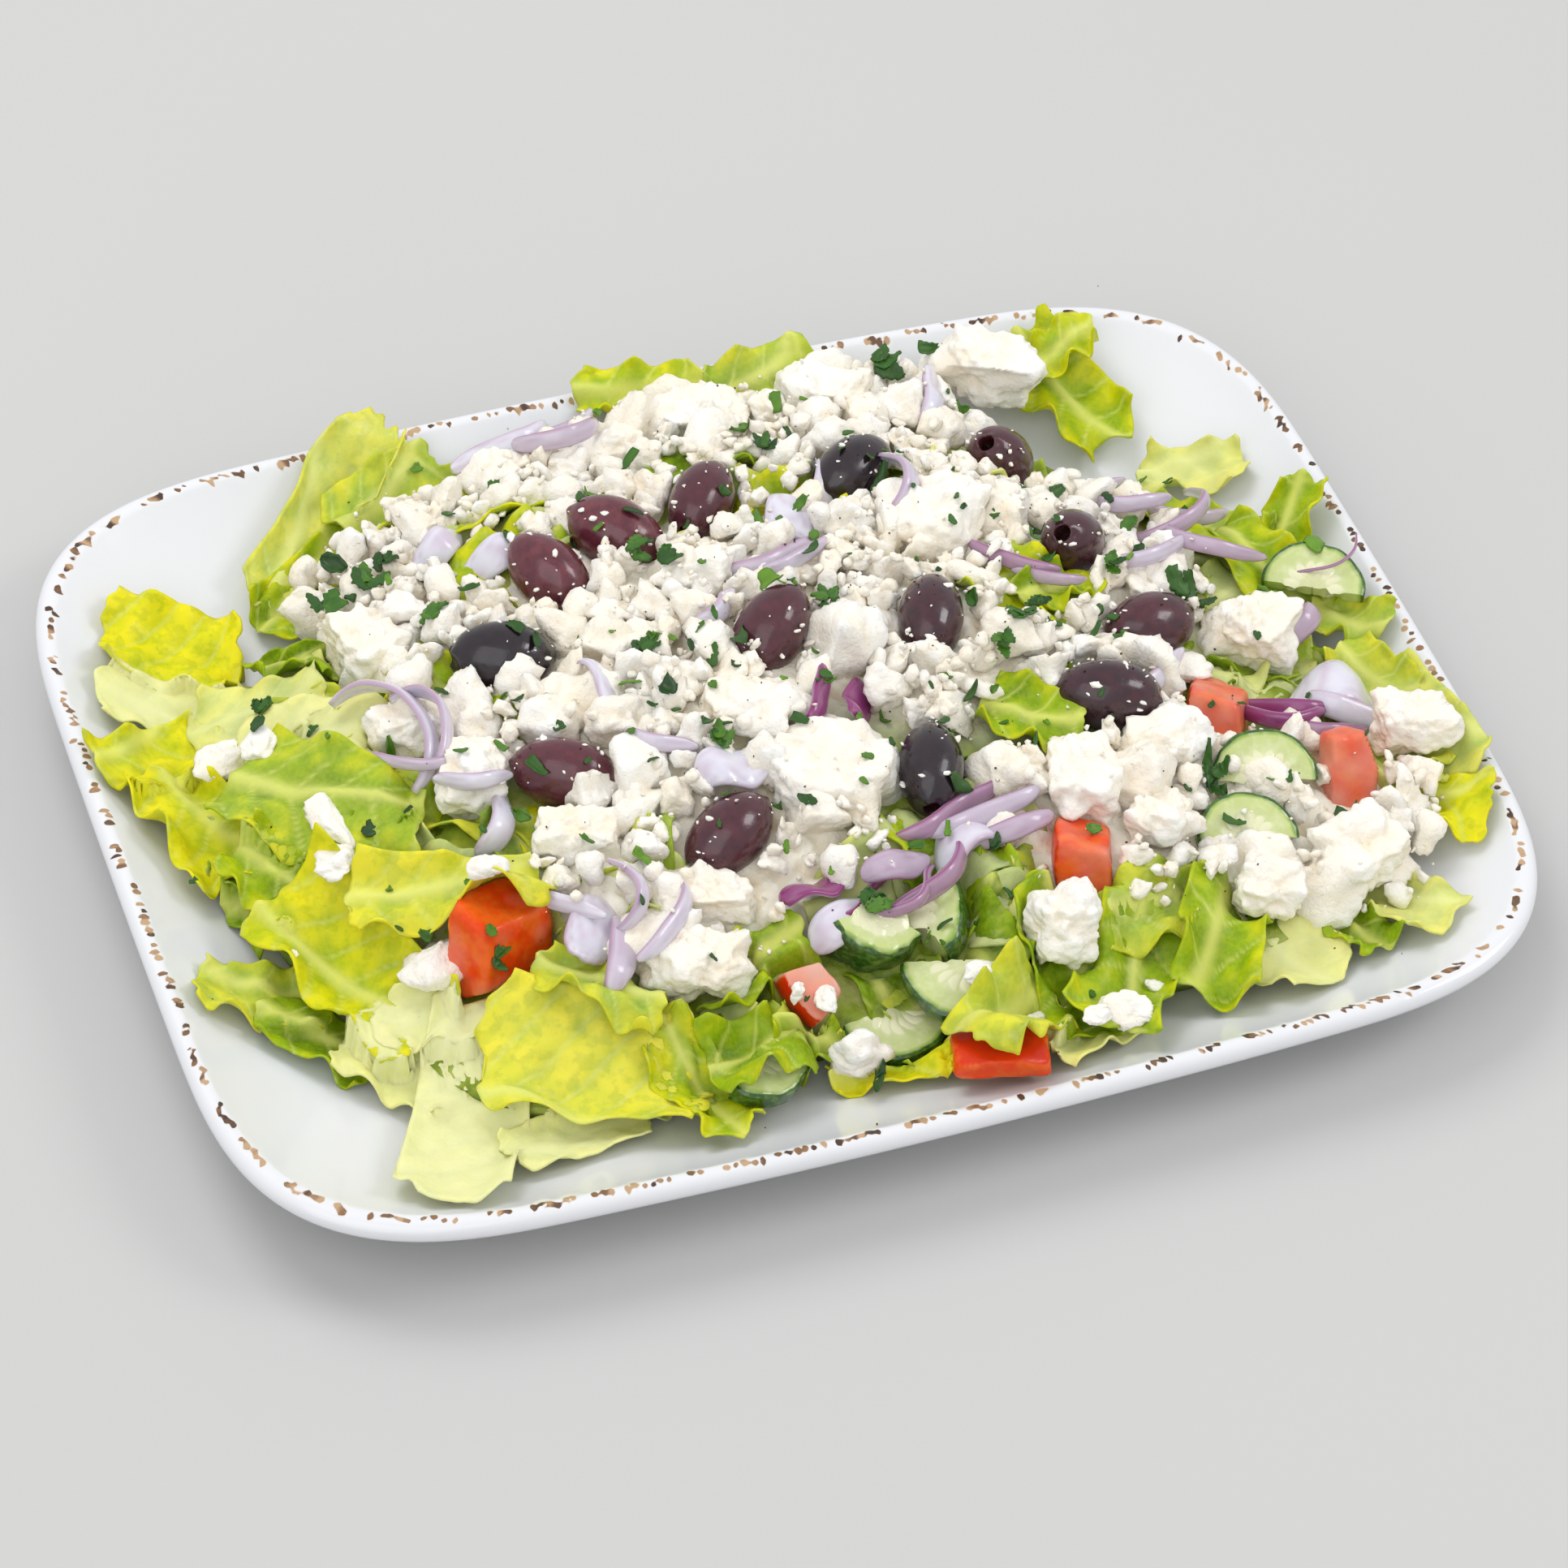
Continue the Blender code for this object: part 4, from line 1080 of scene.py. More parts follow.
# Each mesh of crumbs: how many, least and greatest size, rows and columns of a crumb, how much
# farther than the cover they spread, share sunk into what lies below, how far above the
# heap's own top they may lie, and the chance of lying on a topping.
CRUMBS = {
    "feta_lumps": (90, 11.0, 20.0, 26, 36, -0.06, 0.55, 1.5, 0.0),
    "feta_crumbs_large": (180, 6.5, 13.0, 16, 22, -0.02, 0.42, 2.5, 0.02),
    "feta_crumbs_medium": (190, 3.2, 7.5, 10, 15, 0.0, 0.3, 5, 0.04),
    "feta_crumbs_small": (360, 1.3, 3.6, 6, 9, 0.06, 0.2, 8, 0.06),
    "feta_grains": (520, 0.45, 1.4, 3, 6, 0.25, 0.1, 12, 0.30),
}
STREWN_X, STREWN_Y = (-138, 146), (-106, 118)
CROSS = np.array([[0, 0], [1, 0], [-1, 0], [0, 1], [0, -1]])


def scatter_crumbs(name, ground, material, rng):
    """Crumbs dropped where the cheese lies, each turned at random and resting on the ground,
    but not much above the heap's own surface and seldom on another topping."""
    count, least, greatest, rows, cols, reach, sink, above, on_toppings = CRUMBS[name]
    shapes = crumb_shapes(rng, 16, rows, cols, (least + greatest) / 2)
    faces = ball_faces(rows, cols)
    batch = Batch()
    laid = tries = 0
    while laid < count and tries < 40 * count:
        tries += 1
        x, y = rng.uniform(*STREWN_X), rng.uniform(*STREWN_Y)
        chance = np.clip(3 * (float(feta_cover(x, y)) + reach), 0, 1)
        size = least + (greatest - least) * rng.beta(1.3, 1.9)
        if rng.uniform() > chance or ground.at(x, y) < ground.read(ground.bare, x, y) + 2:
            continue
        spread = CROSS * size * 0.33 + [x, y]
        shut = ground.shut[ground.cell(spread[:, 0], spread[:, 1])].any()
        if shut and rng.uniform() > on_toppings:
            continue
        pattern, crevice = shapes[rng.integers(len(shapes))]
        points = turned(pattern * size, *draws(rng, (0, 360), (-60, 60), (-60, 60)))
        ring = ground.at(x + points[:, 0] * 0.8, y + points[:, 1] * 0.8)
        rest = np.percentile(ring, 55) - points[:, 2].min() * (1 - sink)
        if rest > ground.read(ground.roof, x, y) + above:
            continue
        points = ground.clear_of_dish(points + np.array([x, y, rest]))
        cream = rng.choice([0, 0.1, 0.35], p=[0.5, 0.3, 0.2])
        batch.add(points, faces, crevice=crevice, cream=cream)
        ground.raise_to(points)
        laid += 1
    batch.build(name, material, "feta_cheese")


# Crumbs lying alone on leaves, toppings and the plate: x, y, size, heading.
LONE_CRUMBS = (
    (-122, 30, 10, 10), (-114, 24, 9, 60), (-106, -6, 9, 100), (-108, -19, 7, 20),
    (-95, -47, 11, 60), (-82, -43, 5, 0), (-15, -94, 12, -20), (45, -103, 12, 50), (36, -104, 5, 0),
    (20, -97, 3, 0), (25, -95, 3.5, 0), (16, -87, 5, 10), (55, -93, 3, 0), (-18, -83, 4, 80),
    (-24, -81, 4.5, 40), (-122, -32, 2.5, 0),
)


def make_lone_crumbs(ground, material):
    """Each lone crumb a little longer than wide, flattened, and set down on what lies below."""
    rng = np.random.default_rng(401)
    rows, cols = 22, 30
    shapes = crumb_shapes(rng, 8, rows, cols, 9)
    batch = Batch()
    for number, (x, y, size, heading) in enumerate(LONE_CRUMBS):
        pattern, crevice = shapes[number % 8]
        points = turned(pattern * size * [1.15, 0.8, 0.6], heading, 0, 0)
        below = ground.at(x + points[:, 0], y + points[:, 1])
        points = points + np.array([x, y, np.percentile(below, 60) - 0.85 * points[:, 2].min()])
        points = ground.clear_of_dish(points)
        # painted shade in the hollows, at half strength
        batch.add(points, ball_faces(rows, cols), crevice=crevice * 0.5, cream=0)
        ground.raise_to(points)
    batch.build("feta_lone_crumbs", material, "feta_cheese")


# ---------------------------------------------------------------- olives

def axes_of(points):
    """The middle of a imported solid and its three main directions, longest first."""
    middle = points.mean(0)
    _, _, turn = np.linalg.svd(points - middle, full_matrices=False)
    return middle, turn


OLIVE_SKIN = 0.84               # share of the rows on the outside; the rest line the hole
# How red each olive is, from near black.
OLIVE_TONES = (0.78, 0.80, 0.62, 0.12, 0.55, 0.50, 0.45, 0.60, 0.05, 0.55, 0.42, 0.10, 0.70, 0.58)


def olive_profile(share, half, width):
    """Distance along the olive and radius for each share of the way from the nipple over the
    skin, round the lip and down the hole to its floor: a half ellipse cut short, drawn out
    at the nipple, and then a tube that closes by a high power."""
    outer = np.clip(share / OLIVE_SKIN, 0, 1)
    polar = math.pi * outer * 0.905
    radius = np.sin(polar) ** 0.92 * width * (1 - 0.10 * np.maximum(np.cos(polar), 0) ** 2)
    along = -np.cos(polar) * half
    along = along - 0.07 * half * np.exp(-(polar / 0.16) ** 2)
    lip, lip_place = radius[outer >= 1][0], along[outer >= 1][0]
    inner = np.clip((share - OLIVE_SKIN) / (1 - OLIVE_SKIN), 0, 1)
    lip_round = np.sin(np.minimum(inner * 3, 1) * math.pi) * 0.35
    down = lip_place + lip_round - half * 0.75 * np.maximum(inner - 0.12, 0)
    tube = lip * (1 - 0.28 * np.minimum(inner * 4, 1)) * np.sqrt(np.maximum(1 - inner ** 6, 0))
    return np.where(inner > 0, down, along), np.where(inner > 0, tube, radius)


def make_olives(ground, material):
    """An oval skin along each packed olive's long direction: a pointed nipple at one end, and
    at the other a round hole with a torn lip, running in to a closed floor."""
    names = toppings("olive")
    batch = Batch()
    rows, cols = 64, 60
    share = np.linspace(0, 1, rows)
    angle = math.tau * np.arange(cols) / cols
    for number, name in enumerate(names):
        rng = np.random.default_rng(700 + number)
        solid = surface_samples(name, 6)
        middle, turn = axes_of(solid)
        local = (solid - middle) @ turn.T
        if -local[:, 0].min() < local[:, 0].max():
            turn = turn * np.array([[-1.0], [-1.0], [1.0]])
            local = (solid - middle) @ turn.T
        if np.linalg.det(turn) < 0:
            turn[2] *= -1
        half = (local[:, 0].max() - local[:, 0].min()) / 2 * 1.02
        width = (np.ptp(local[:, 1]) + np.ptp(local[:, 2])) / 4 * 1.03
        along, radius = olive_profile(share, half, width)
        points = np.stack([along[:, None] * np.ones(cols), radius[:, None] * np.cos(angle),
                           radius[:, None] * np.sin(angle)], -1)
        unevenness = rough(points, 9, number) * 0.35
        unevenness = unevenness + rough(points * [0.5, 1, 1], 3.2, number + 40) * 0.12
        near_lip = np.exp(-((share[:, None] - OLIVE_SKIN) / 0.05) ** 2)
        torn = near_lip * np.sin(3 * angle + rng.uniform(0, 6)) * 0.45
        points[..., 1:] *= (1 + unevenness * 0.09 + torn * 0.10)[..., None]
        points[..., 0] += torn * 0.8
        points[..., 2] *= rng.uniform(0.92, 1.0)
        poles = np.array([[along[0], 0, 0], [along[-1], 0, 0]])
        body = np.concatenate([points[1:-1].reshape(-1, 3), poles]) @ turn + middle
        inside = np.repeat(np.clip((share[1:-1] - OLIVE_SKIN) * 14, 0, 1), cols)
        batch.add(body, ball_faces(rows - 2, cols), inside=np.append(inside, [0, 1]),
                  tone=OLIVE_TONES[number])
        ground.raise_to(body)
    batch.build("olives_fine", material, "olive_skin", names)


# ---------------------------------------------------------------- cucumber, tomato, onion

def set_on_node(points, node):
    """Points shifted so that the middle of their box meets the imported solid's."""
    low, high = box_in_mm(node)
    return points + (low + high) / 2 - (points.min(0) + points.max(0)) / 2


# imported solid: radius, thickness, arc, yaw, tilt
CUCUMBERS = {
    "cucumber_01": (12, 4.5, 180, -15, 34), "cucumber_02": (11.5, 4.5, 180, -10, 30),
    "cucumber_03": (15, 9, 90, -65, 15), "cucumber_04": (12, 12, 120, -170, -25),
    "cucumber_05": (14, 4, 180, 165, -10), "cucumber_06": (13, 3.5, 180, 190, -8),
    "cucumber_07": (12, 5, 150, -135, -15), "cucumber_08": (12, 4, 180, -30, 22),
}


def cucumber_slice(radius, thickness, arc, seed):
    """Part of a disc as rings of points, closer together in the skin, with a slightly wavy
    outline and domed or dished by a parabola.  Seeds are pale spokes in a ring between the
    middle and the outer flesh, and the thickness falls off at the rounded edge."""
    rng = np.random.default_rng(seed)
    flesh, skin = np.linspace(0.02, 0.86, 24), [0.90, 0.925, 0.94, 0.955, 0.97, 0.985, 1.0]
    reach = np.concatenate([flesh, skin])
    turn = np.radians(np.linspace(0, arc, 60))
    reach, turn = np.meshgrid(reach, turn, indexing="ij")
    wobble = radius * (1 + 0.02 * np.sin(3 * turn + seed) + 0.012 * np.sin(7 * turn))
    points = np.stack([wobble * reach * np.cos(turn), wobble * reach * np.sin(turn),
                       0.5 * (1 - reach ** 2) * rng.uniform(-1, 1)], -1)
    spokes = (0.5 + 0.5 * np.cos(turn * 15 + 2.2 * np.sin(reach * 9 + seed))) ** 2
    seeds = spokes * np.exp(-((reach - 0.42) / 0.17) ** 2)
    points[..., 2] += 0.22 * rough(points, 2.5, seed) + 0.25 * seeds
    rounding = np.clip((reach - 0.9) / 0.1, 0, 1) ** 2
    return points, thickness * (1 - 0.28 * rounding), reach, seeds


def make_cucumbers(ground, material):
    """Each slice given its thickness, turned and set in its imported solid's place."""
    batch = Batch()
    for seed, (node, (radius, thickness, arc, yaw, tilt)) in enumerate(CUCUMBERS.items()):
        points, thick, reach, seeds = cucumber_slice(radius, thickness, arc, seed)
        body, faces = shell(points, thick)
        body = set_on_node(turned(body, yaw, 0, tilt), node)
        reach, seeds = np.tile(reach.ravel(), 2), np.tile(seeds.ravel(), 2)
        batch.add(body, faces, reach=reach, seed=seeds, rind=reach > 0.945)
        ground.raise_crown(body)
    batch.build("cucumbers_fine", material, "cucumber_flesh", list(CUCUMBERS), sharp=38)


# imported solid: yaw, tilt, roll, paleness of the flesh
TOMATOES = {
    "tomato_01": (120, 20, 15, 0.0), "tomato_02": (200, 10, 60, 0.75),
    "tomato_03": (75, -80, 0, 0.0), "tomato_04": (160, 10, 20, 0.15),
    "tomato_05": (150, 10, 30, 0.3), "tomato_06": (5, 10, 60, 0.4),
}


def make_tomatoes(ground, material):
    """Each packed wedge re-made as a fine skin by its reach in every direction, with its edges
    softened; the red skin is where the solid's face looks away from the wedge's core."""
    rows, cols = 56, 76
    directions = ball_directions(rows, cols)
    batch = Batch()
    for number, (node, (yaw, tilt, roll, pale)) in enumerate(TOMATOES.items()):
        triangles = triangles_of(node)
        centre = (triangles.min((0, 1)) + triangles.max((0, 1))) / 2
        reach, face = outward_reach(directions, triangles, centre)
        first, second, third = triangles.transpose(1, 0, 2)
        normal = np.cross(second - first, third - first)
        normal /= np.linalg.norm(normal, axis=1, keepdims=True)
        outward = turned(np.array([[1.0, 0, 0]]), yaw, -tilt, 90 + roll)[0]
        rind = (normal[face] @ outward > 0.8).astype(float)
        ring = reach[:-2].reshape(rows, cols)
        for _ in range(2):
            ring = (2 * ring + np.roll(ring, 1, 1) + np.roll(ring, -1, 1)) / 4
            ring[1:-1] = (2 * ring[1:-1] + ring[:-2] + ring[2:]) / 4
        reach = np.append(ring.ravel(), [ring[0].mean(), ring[-1].mean()])
        points = directions * reach[:, None]
        pulp = 0.45 * rough(points, 3.2, number) + 0.5 * lumps(points, 4.5, number + 20)
        relief = pulp * (1 - rind) * 0.09 + 0.012 * rough(points, 6, number + 5) * rind
        points = points * (1 + relief)[:, None]
        batch.add(points + centre, ball_faces(rows, cols), rind=rind,
                  pale=np.clip(pale + 0.3 * rough(points, 5, number + 30), 0, 1))
        ground.raise_crown(points + centre)
    batch.build("tomatoes_fine", material, "tomato_flesh", list(TOMATOES))


def onion_piece(radius, arc, wall, depth, purple, seed, cols=20):
    """Part of an onion ring bent in the upright plane, its outer side up: a squarish section
    swept round the arc, narrowing to both ends.  Returns its points, faces and paint values."""
    rows = 44
    share = np.linspace(-1, 1, rows)[1:-1, None]
    turn = np.radians(arc) / 2 * share
    around = math.tau * np.arange(cols) / cols
    c, s = np.cos(around), np.sin(around)
    out, side = np.sign(c) * np.abs(c) ** 0.55, np.sign(s) * np.abs(s) ** 0.7
    taper = np.sqrt(np.maximum(1 - share ** 4, 0.03)) * (1 - 0.25 * share ** 2)
    cup = 0.10 * depth * (side * side)
    offset = wall / 2 * out * np.sqrt(taper) - cup
    across = depth / 2 * side * taper + 0.10 * depth * np.sin(2.4 * share + seed)
    flare = radius * (1 + 0.10 * np.sin(1.7 * share * 2 + seed) + 0.07 * share)
    from_middle = flare + offset
    points = np.stack([from_middle * np.sin(turn), across, from_middle * np.cos(turn) - radius], -1)
    points = points + 0.25 * rough(points, 5, seed)[..., None]
    lines = np.abs(np.sin(across * 1.9 + 0.4 * np.sin(3 * share))) ** 6 * 0.6
    skin = np.clip(out, 0, 1) * 0.9 * purple ** 3 + 0.75 * purple ** 0.7 * np.abs(side) ** 8
    skin = np.tile(skin, rows - 2)
    ends = points[[0, -1]].mean(1)
    body = np.concatenate([points.reshape(-1, 3), ends])
    values = {"line": np.append(lines.ravel(), [0, 0]), "skin": np.append(skin, [purple, purple])}
    return body, ball_faces(rows - 2, cols), values


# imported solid: length, width, bend, yaw, tilt, roll, purple
PETALS = {
    "onion_01": (24, 12, 60, 60, 40, 10, 0.25), "onion_02": (24, 16, 60, -15, 10, -12, 0.35),
    "onion_03": (26, 11, 80, 20, 10, -20, 0.45), "onion_04": (20, 7, 90, 15, 10, 30, 0.8),
    "onion_05": (18, 9, 60, 20, 15, -30, 1.0), "onion_06": (18, 10, 60, 70, 30, 60, 1.0),
    "onion_07": (26, 12, 70, 60, 30, 30, 0.5),
}
# Loose slices: x, y, lift, yaw, pitch, roll, radius, arc, wall, depth, purple
ONION_SLICES = (
    (47, 50, 3, 75, 10, 55, 11, 150, 1.8, 6, 0.6), (11, 35, 2, 15, 0, 62, 15, 110, 1.8, 6, 0.7),
    (15, 31, 2, 20, 0, 70, 11, 100, 1.6, 4, 0.6), (31, 58, 2, 65, 0, 40, 14, 90, 1.7, 7, 0.35),
    (112, -28, 5, -20, 0, 50, 24, 60, 1.9, 5, 1.0), (109, -33, 4, -14, 0, 70, 22, 70, 1.8, 4, 1.0),
    (118, -38, 5, -24, 0, 60, 20, 75, 1.7, 4, 0.9), (126, -33, 5, -35, 0, 50, 18, 80, 1.7, 6, 0.5),
    (24, -47, 6, 22, 0, 60, 26, 70, 1.8, 5, 0.9), (30, -50, 6, 12, 0, 48, 22, 76, 1.8, 5, 0.7),
    (33, -55, 5, 4, 0, 40, 18, 90, 1.7, 5, 0.8), (14, -62, 4, 42, 0, 62, 24, 86, 1.7, 5, 0.9),
    (6, -66, 3, 30, 0, 70, 26, 60, 1.6, 3, 0.9), (-7, -66, 3, 24, 0, 20, 22, 62, 1.8, 10, 0.3),
    (-2, -62, 3, 34, 0, 80, 18, 80, 1.6, 3, 1.0), (-84, 14, 4, 108, 0, 55, 15, 190, 1.8, 6, 0.5),
    (-78, 10, 3, 100, 0, 62, 11, 170, 1.6, 5, 0.6), (-86, 2, 4, -12, 0, 70, 22, 70, 1.5, 3, 0.7),
    (-75, -10, 3, -10, 0, 60, 20, 60, 1.6, 4, 0.5), (-72, -19, 3, 60, 10, 50, 14, 90, 1.7, 7, 0.4),
    (-20, -25, 2, 10, 0, 10, 18, 60, 1.8, 11, 0.15), (5, -12, 3, 65, 0, 60, 12, 90, 1.8, 6, 1.0),
    (-24, 105, 4, 22, 0, 66, 32, 62, 1.6, 5, 0.5), (-32, 103, 4, 15, 0, 56, 24, 70, 1.6, 7, 0.4),
    (-20, 98, 4, 5, 0, 60, 14, 130, 1.4, 5, 0.7), (-52, -50, 4, 80, 20, 60, 10, 150, 1.6, 5, 0.6),
    (-66, -46, 5, -50, 10, 60, 16, 80, 1.6, 4, 0.1), (-58, -62, 3, 70, 0, 30, 12, 110, 1.7, 7, 0.7),
    (-46, -60, 3, 50, 0, 60, 13, 120, 1.5, 5, 0.6), (108, 33, 4, 10, 12, 58, 12, 240, 1.3, 4, 0.8),
    (100, 40, 4, -25, 10, 60, 15, 110, 1.4, 4, 0.7),
    (112, 20, 4, -50, 10, 55, 14, 170, 1.3, 4, 0.8), (98, 17, 3, 10, 0, 60, 13, 120, 1.4, 4, 0.6),
    (116, 38, 3, -20, 0, 60, 9, 180, 1.2, 4, 0.7), (64, 22, 3, -40, 0, 62, 13, 110, 1.6, 4, 0.9),
    (70, 14, 2, -30, 0, 60, 10, 120, 1.5, 3, 0.8), (-48, 61, 3, 10, 0, 20, 20, 55, 1.8, 9, 0.2),
    (-58, 70, 3, 40, 0, 30, 18, 60, 1.6, 8, 0.25), (-8, 20, 2, 40, 0, 60, 14, 70, 1.6, 5, 0.5),
    (70, 88, 3, 70, 0, 40, 14, 90, 1.6, 6, 0.4), (94, 58, 3, -10, 0, 60, 16, 110, 1.4, 4, 0.7),
    (-40, 5, 2, 100, 0, 40, 13, 90, 1.6, 6, 0.3), (138, 8, 5, 15, 14, 78, 18, 80, 0.7, 0.8, 0.9),
    (127, -6, 3, 40, 0, 40, 12, 90, 1.5, 6, 0.8), (-34, -14, 2, -30, 0, 60, 15, 80, 1.5, 4, 0.6),
    (84, -20, 3, 30, 0, 60, 13, 100, 1.6, 5, 0.5),
)


PETAL_WALL = 1.9


def make_onions(ground, material):
    """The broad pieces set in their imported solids' places, then the loose slices laid down."""
    fine, loose = Batch(), Batch()
    for number, (node, sizes) in enumerate(PETALS.items()):
        length, width, bend, yaw, tilt, roll, purple = sizes
        radius = length / math.radians(bend)
        body, faces, values = onion_piece(radius, bend, PETAL_WALL, width, purple, number, 26)
        body = set_on_node(turned(body, yaw, -tilt, roll), node)
        fine.add(body, faces, **values)
        ground.raise_crown(body)
    for number, (x, y, lift, yaw, pitch, roll, *sizes) in enumerate(ONION_SLICES):
        body, faces, values = onion_piece(*sizes, 40 + number)
        body = turned(body - body.mean(0), yaw, pitch, roll)
        rest = ground.at(body[:, 0] + x, body[:, 1] + y).mean()
        body = body + np.array([x, y, rest - body[:, 2].min() * 0.35 + lift * 0.3])
        face = ground.read(ground.bare, body[:, 0], body[:, 1])
        body[:, 2] = np.maximum(body[:, 2], face + 0.4)
        loose.add(body, faces, **values)
        ground.raise_to(body)
        ground.close_off(body, 0)
    fine.build("onion_petals", material, "red_onion", list(PETALS))
    loose.build("onion_slices", material, "red_onion")


# ---------------------------------------------------------------- herbs and pepper

def blade(length, width, seed, teeth, rows, cols, power=0.5):
    """A small leaf: a sheet with a toothed edge, pointed or, with a low power, cut square, and
    curled a little both ways."""
    u, v = unit_grid(rows, cols)
    half = np.maximum(1 - u ** 2, 0.04) ** power * (1 - 0.25 * u)
    half = half * (1 + teeth * np.sin(u * 13 + seed))
    curl = 0.22 * width * v ** 2 * math.sin(seed * 1.3)
    curl = curl + 0.12 * length * u ** 2 * math.cos(seed * 2.1)
    ragged = 1 + 0.28 * rough(np.stack([u * 2, v * 2, u * 0 + seed], -1), 0.9, seed)
    return np.stack([u * length / 2, v * half * width / 2 * ragged, curl], -1)


# Larger sprigs: x, y, heading, length, lift
SPRIGS = (
    (54, -2, -40, 13, 1.2), (62, 4, 30, 9, 1.0), (50, -8, -100, 9, 1.0), (61, 102, 10, 13, 2.5),
    (102, 5, 60, 13, 2.0), (-88, 63, 50, 13, 2.0), (-110, 37, 70, 11, 1.5), (-15, 38, 30, 11, 2.0),
    (-21, 45, 5, 10, 2.0), (-77, 65, 80, 12, 2.0), (-72, 72, 40, 9, 2.0), (-4, -68, 20, 12, 2.0),
    (-21, -20, 80, 10, 1.5), (17, 15, 100, 9, 2.0), (-70, 44, 0, 10, 1.0), (85, 14, -10, 9, 2.0),
    (84, -50, 15, 10, 1.5), (-85, -56, 10, 8, 1.0), (23, 76, 60, 8, 2.0), (-28, 13, 60, 10, 1.5),
)


SPRIG_SPREAD = 48               # degrees between a sprig's three blades
HERB_THICKNESS = 0.3
HERB_BITS = 180
BIT_LENGTHS, BIT_SHARES = (2.2, 3.2, 4.6, 6.0), (0.4, 0.32, 0.2, 0.08)


def make_herbs(ground, material):
    """Sprigs of three toothed blades, and chopped bits strewn over the heap."""
    rng = np.random.default_rng(55)
    batch = Batch()

    def lay(points, x, y, lift, tone):
        points = points + [x, y, 0]
        below = ground.at(points[..., 0], points[..., 1])
        points[..., 2] += np.maximum(below, np.percentile(below, 70)) + lift
        body, faces = shell(points, HERB_THICKNESS)
        batch.add(body, faces, tone=tone)

    for number, (x, y, heading, length, lift) in enumerate(SPRIGS):
        for side in (-SPRIG_SPREAD, 0, SPRIG_SPREAD):
            blade_length = length * rng.uniform(0.40, 0.62)
            leaf = blade(blade_length, length * 0.30, number + side, 0.22, 12, 8)
            shape = leaf.shape
            leaf = turned(leaf.reshape(-1, 3), 0, rng.uniform(-5, 25), rng.uniform(-25, 25))
            leaf = leaf + [length * rng.uniform(0.16, 0.34), 0, 0]
            leaf = turned(leaf, heading + side * rng.uniform(0.5, 1.4))
            lay(leaf.reshape(shape), x, y, lift * 0.6, rng.uniform(0.1, 0.6))
    laid = 0
    while laid < HERB_BITS:
        x, y = rng.normal(8, 62), rng.normal(8, 48)
        if abs(x) > 140 or abs(y) > 108 or ground.above_dish(x, y) < 3:
            continue
        length = rng.choice(BIT_LENGTHS, p=BIT_SHARES) * rng.uniform(0.8, 1.2)
        width, power = length * rng.uniform(0.3, 0.7), rng.choice([0.12, 0.5])
        bit = blade(length, width, laid, 0.1, 8, 6, power)
        shape = bit.shape
        bit = turned(bit.reshape(-1, 3), *draws(rng, (0, 360), (-35, 35), (-40, 40)))
        lay(bit.reshape(shape), x, y, 0.3 + length * 0.06, rng.uniform(0.05, 0.8))
        laid += 1
    batch.build("parsley_bits", material, "lettuce")


SPECK_SIZES, SPECK_SHARES = (0.45, 0.8, 1.4, 2.2), (0.45, 0.3, 0.17, 0.08)
SPECKS_EACH = 15
PEPPER_GRAINS = 200


def make_specks(ground, material):
    """Tiny grains of cheese stuck to the upper side of every olive."""
    rng = np.random.default_rng(17)
    rows, cols = 5, 8
    directions = ball_directions(rows, cols)
    batch = Batch()
    for node in toppings("olive"):
        places = surface_samples(node, 5)[:, :2]
        for x, y in places[rng.integers(len(places), size=SPECKS_EACH)]:
            size = rng.choice(SPECK_SIZES, p=SPECK_SHARES) * rng.uniform(0.8, 1.2)
            reach = np.minimum(broken_reach(directions, rng, 7, 0.28, 0.5), 0.7) * size
            points = turned(directions * reach[:, None] * [1.3, 0.75, 0.5], rng.uniform(0, 360))
            points[:, 2] = np.maximum(points[:, 2], -0.2 * size)
            level = ground.at(points[:, 0] + x, points[:, 1] + y).mean()
            batch.add(points + [x, y, level], ball_faces(rows, cols))
    batch.build("feta_specks", material, "feta_cheese")


def make_pepper(ground, material):
    """Coarse angular grains over the heap and the platter."""
    rng = np.random.default_rng(91)
    directions = ball_directions(3, 5)
    batch = Batch()
    for _ in range(PEPPER_GRAINS):
        x, y = rng.normal(10, 55), rng.normal(5, 45)
        points = directions * rng.uniform(0.14, 0.30) * rng.uniform(0.6, 1.4, 3)
        points = points + [x, y, ground.at(x, y) + 0.12]
        batch.add(points, ball_faces(3, 5))
    batch.build("pepper_specks", material, "feta_cheese")


# ---------------------------------------------------------------- room

CAMERA_FROM = Vector((-0.3227, -0.7951, 0.9033))
CAMERA_AHEAD = Vector((0.2614, 0.6388, -0.7236))
CAMERA_UP = Vector((0.213, 0.693, 0.6887))
CAMERA_LENS = 125.0
FLOOR_REACH = 9.0
SKY_STRENGTH = 0.725
LIGHTS_MEET = Vector((0, 0, 0.02))
# place, size and power of each light, and whether glossy things mirror it
LIGHTS = {
    "key": ((-0.30, 0.65, 1.15), 0.7, 6.6, False),
    "fill": ((-0.7, -0.8, 1.1), 1.4, 5.7, True),
    "side": ((1.0, -0.3, 1.0), 0.5, 4.4, True),
}


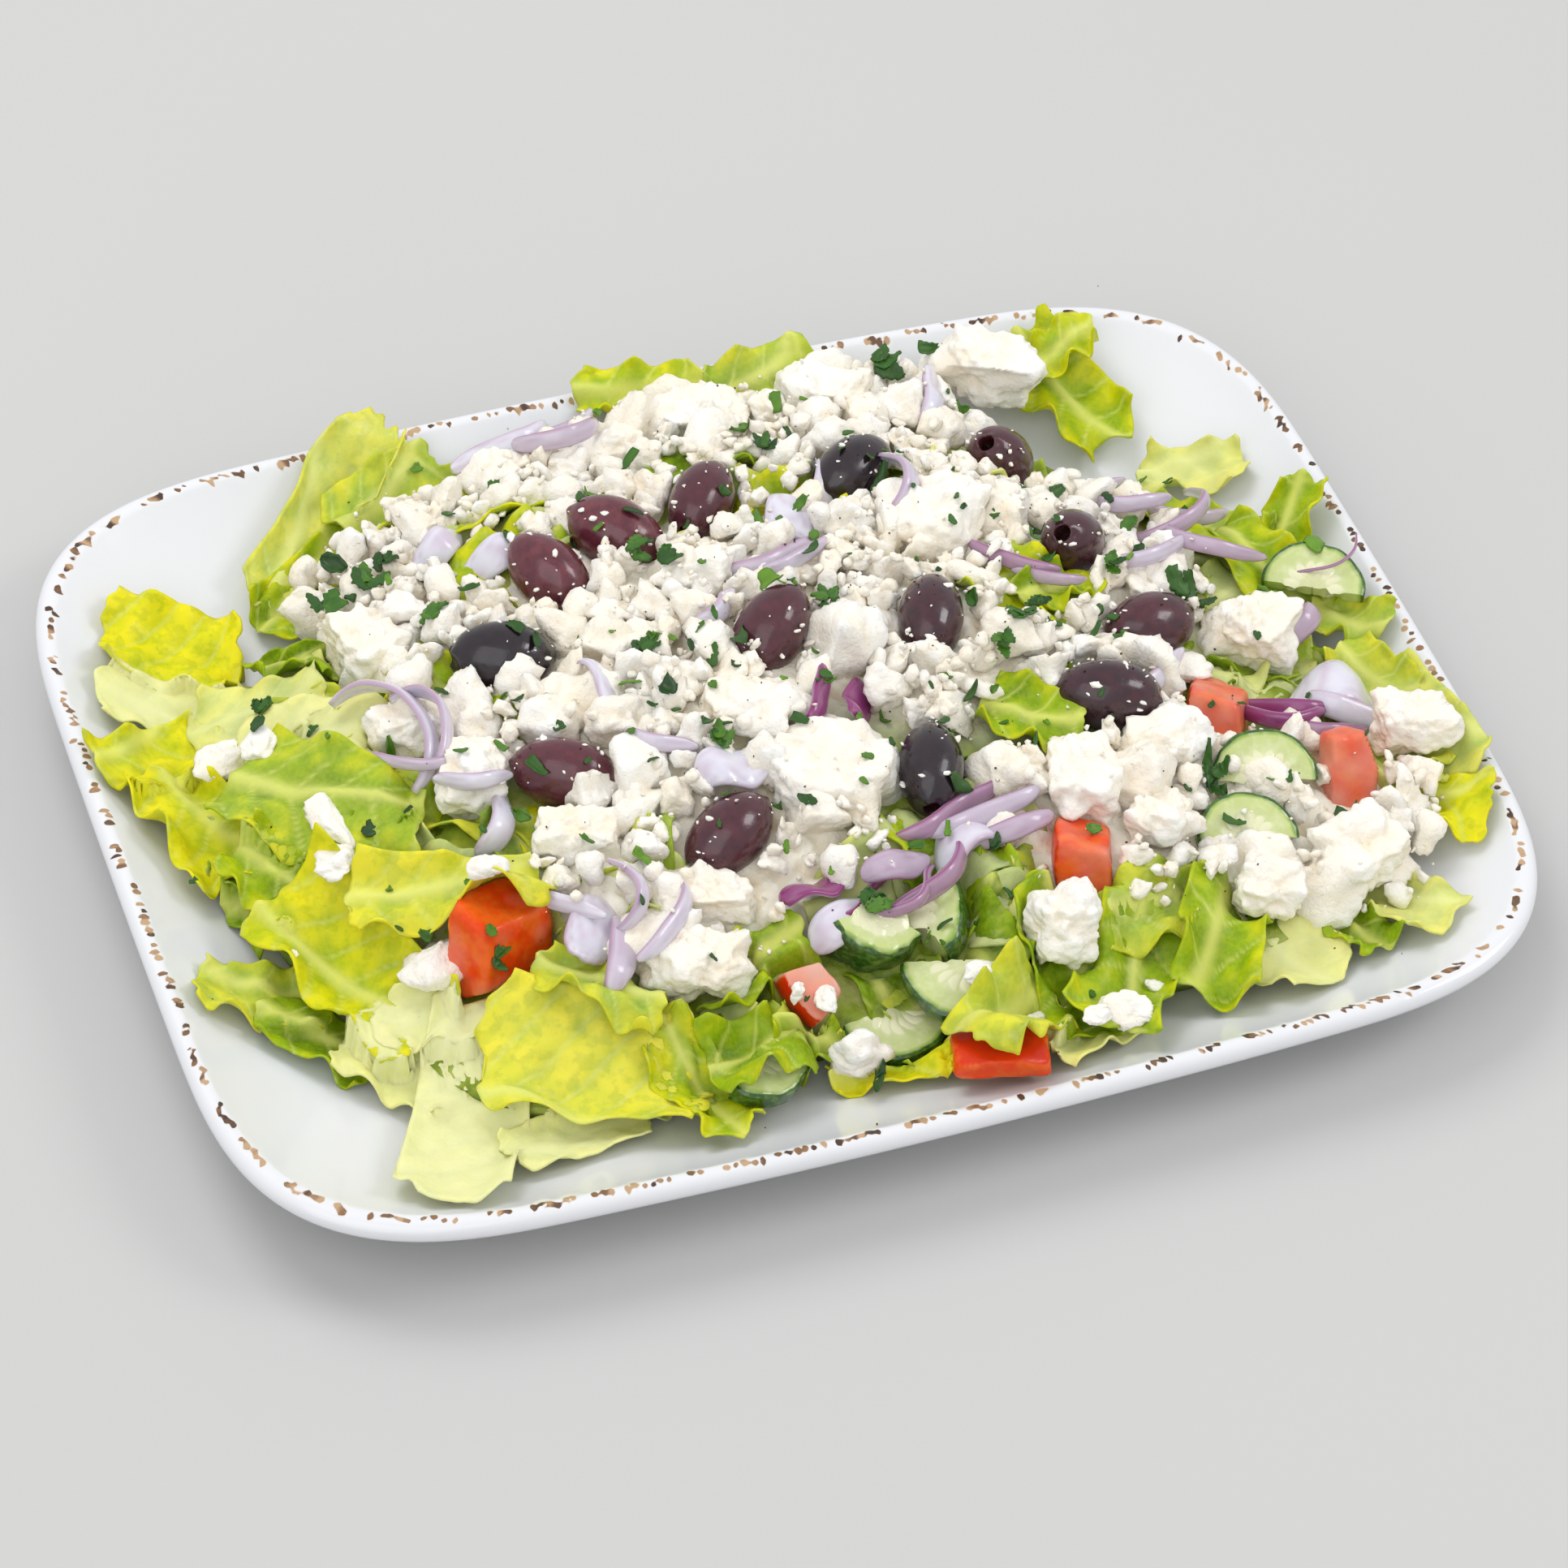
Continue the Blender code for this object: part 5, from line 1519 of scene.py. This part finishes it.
def make_room(material):
    """A plain pale floor, a soft light above and behind, a larger one from the front left, a
    small one from the right, an even sky, and the camera at the salad's own viewing angle."""
    mesh = bpy.data.meshes.new("floor")
    sides = ((-1, -1), (1, -1), (1, 1), (-1, 1))
    mesh.from_pydata([(x * FLOOR_REACH, y * FLOOR_REACH, 0) for x, y in sides], [], [(0, 1, 2, 3)])
    mesh.materials.append(material)
    floor = bpy.data.objects.new("floor", mesh)
    bpy.context.scene.collection.objects.link(floor)
    for name, (place, size, power, mirrored) in LIGHTS.items():
        light = bpy.data.lights.new(name, "AREA")
        light.shape = "SQUARE"
        light.size = size
        light.energy = power
        lamp = bpy.data.objects.new(name, light)
        lamp.location = place
        lamp.rotation_euler = (LIGHTS_MEET - Vector(place)).to_track_quat("-Z", "Y").to_euler()
        lamp.visible_glossy = mirrored
        bpy.context.scene.collection.objects.link(lamp)
    world = bpy.data.worlds.new("studio")
    world.use_nodes = True
    sky = world.node_tree.nodes["Background"]
    sky.inputs["Color"].default_value = (1, 1, 1, 1)
    sky.inputs["Strength"].default_value = SKY_STRENGTH
    bpy.context.scene.world = world
    bpy.context.scene.view_settings.view_transform = "Standard"
    camera = bpy.data.objects.new("camera", bpy.data.cameras.new("camera"))
    camera.data.lens = CAMERA_LENS
    camera.data.sensor_width = 36.0
    right = CAMERA_AHEAD.cross(CAMERA_UP).normalized()
    up = right.cross(CAMERA_AHEAD).normalized()
    turn = Matrix((right, up, -CAMERA_AHEAD.normalized())).transposed()
    camera.matrix_world = Matrix.Translation(CAMERA_FROM) @ turn.to_4x4()
    bpy.context.scene.collection.objects.link(camera)
    bpy.context.scene.camera = camera


# ---------------------------------------------------------------- all of it

ground = Ground()
ceiling = topping_ceiling(ground)
make_platter(glaze_paint())
make_core(ground, core_paint())
make_cucumbers(ground, cucumber_paint())
make_tomatoes(ground, tomato_paint())
make_leaves(ground, ceiling, leaf_paint())
feta = feta_paint()
crumb_rng = np.random.default_rng(77)
for kind in ("cucumber", "olive", "onion", "tomato"):
    for name in toppings(kind):
        ground.close_off(surface_samples(name, 6), 1)
scatter_crumbs("feta_lumps", ground, feta, crumb_rng)
for name in toppings("feta"):
    ground.close_off(surface_samples(name, 6), 0)
scatter_crumbs("feta_crumbs_large", ground, feta, crumb_rng)
make_feta_chunks(ground, feta)
make_onions(ground, onion_paint())
ground.add_crown()
make_olives(ground, olive_paint())
make_specks(ground, feta)
make_lone_crumbs(ground, feta)
for name in ("feta_crumbs_medium", "feta_crumbs_small", "feta_grains"):
    scatter_crumbs(name, ground, feta, crumb_rng)
make_herbs(ground, herb_paint())
make_pepper(ground, pepper_paint())
make_room(floor_paint())
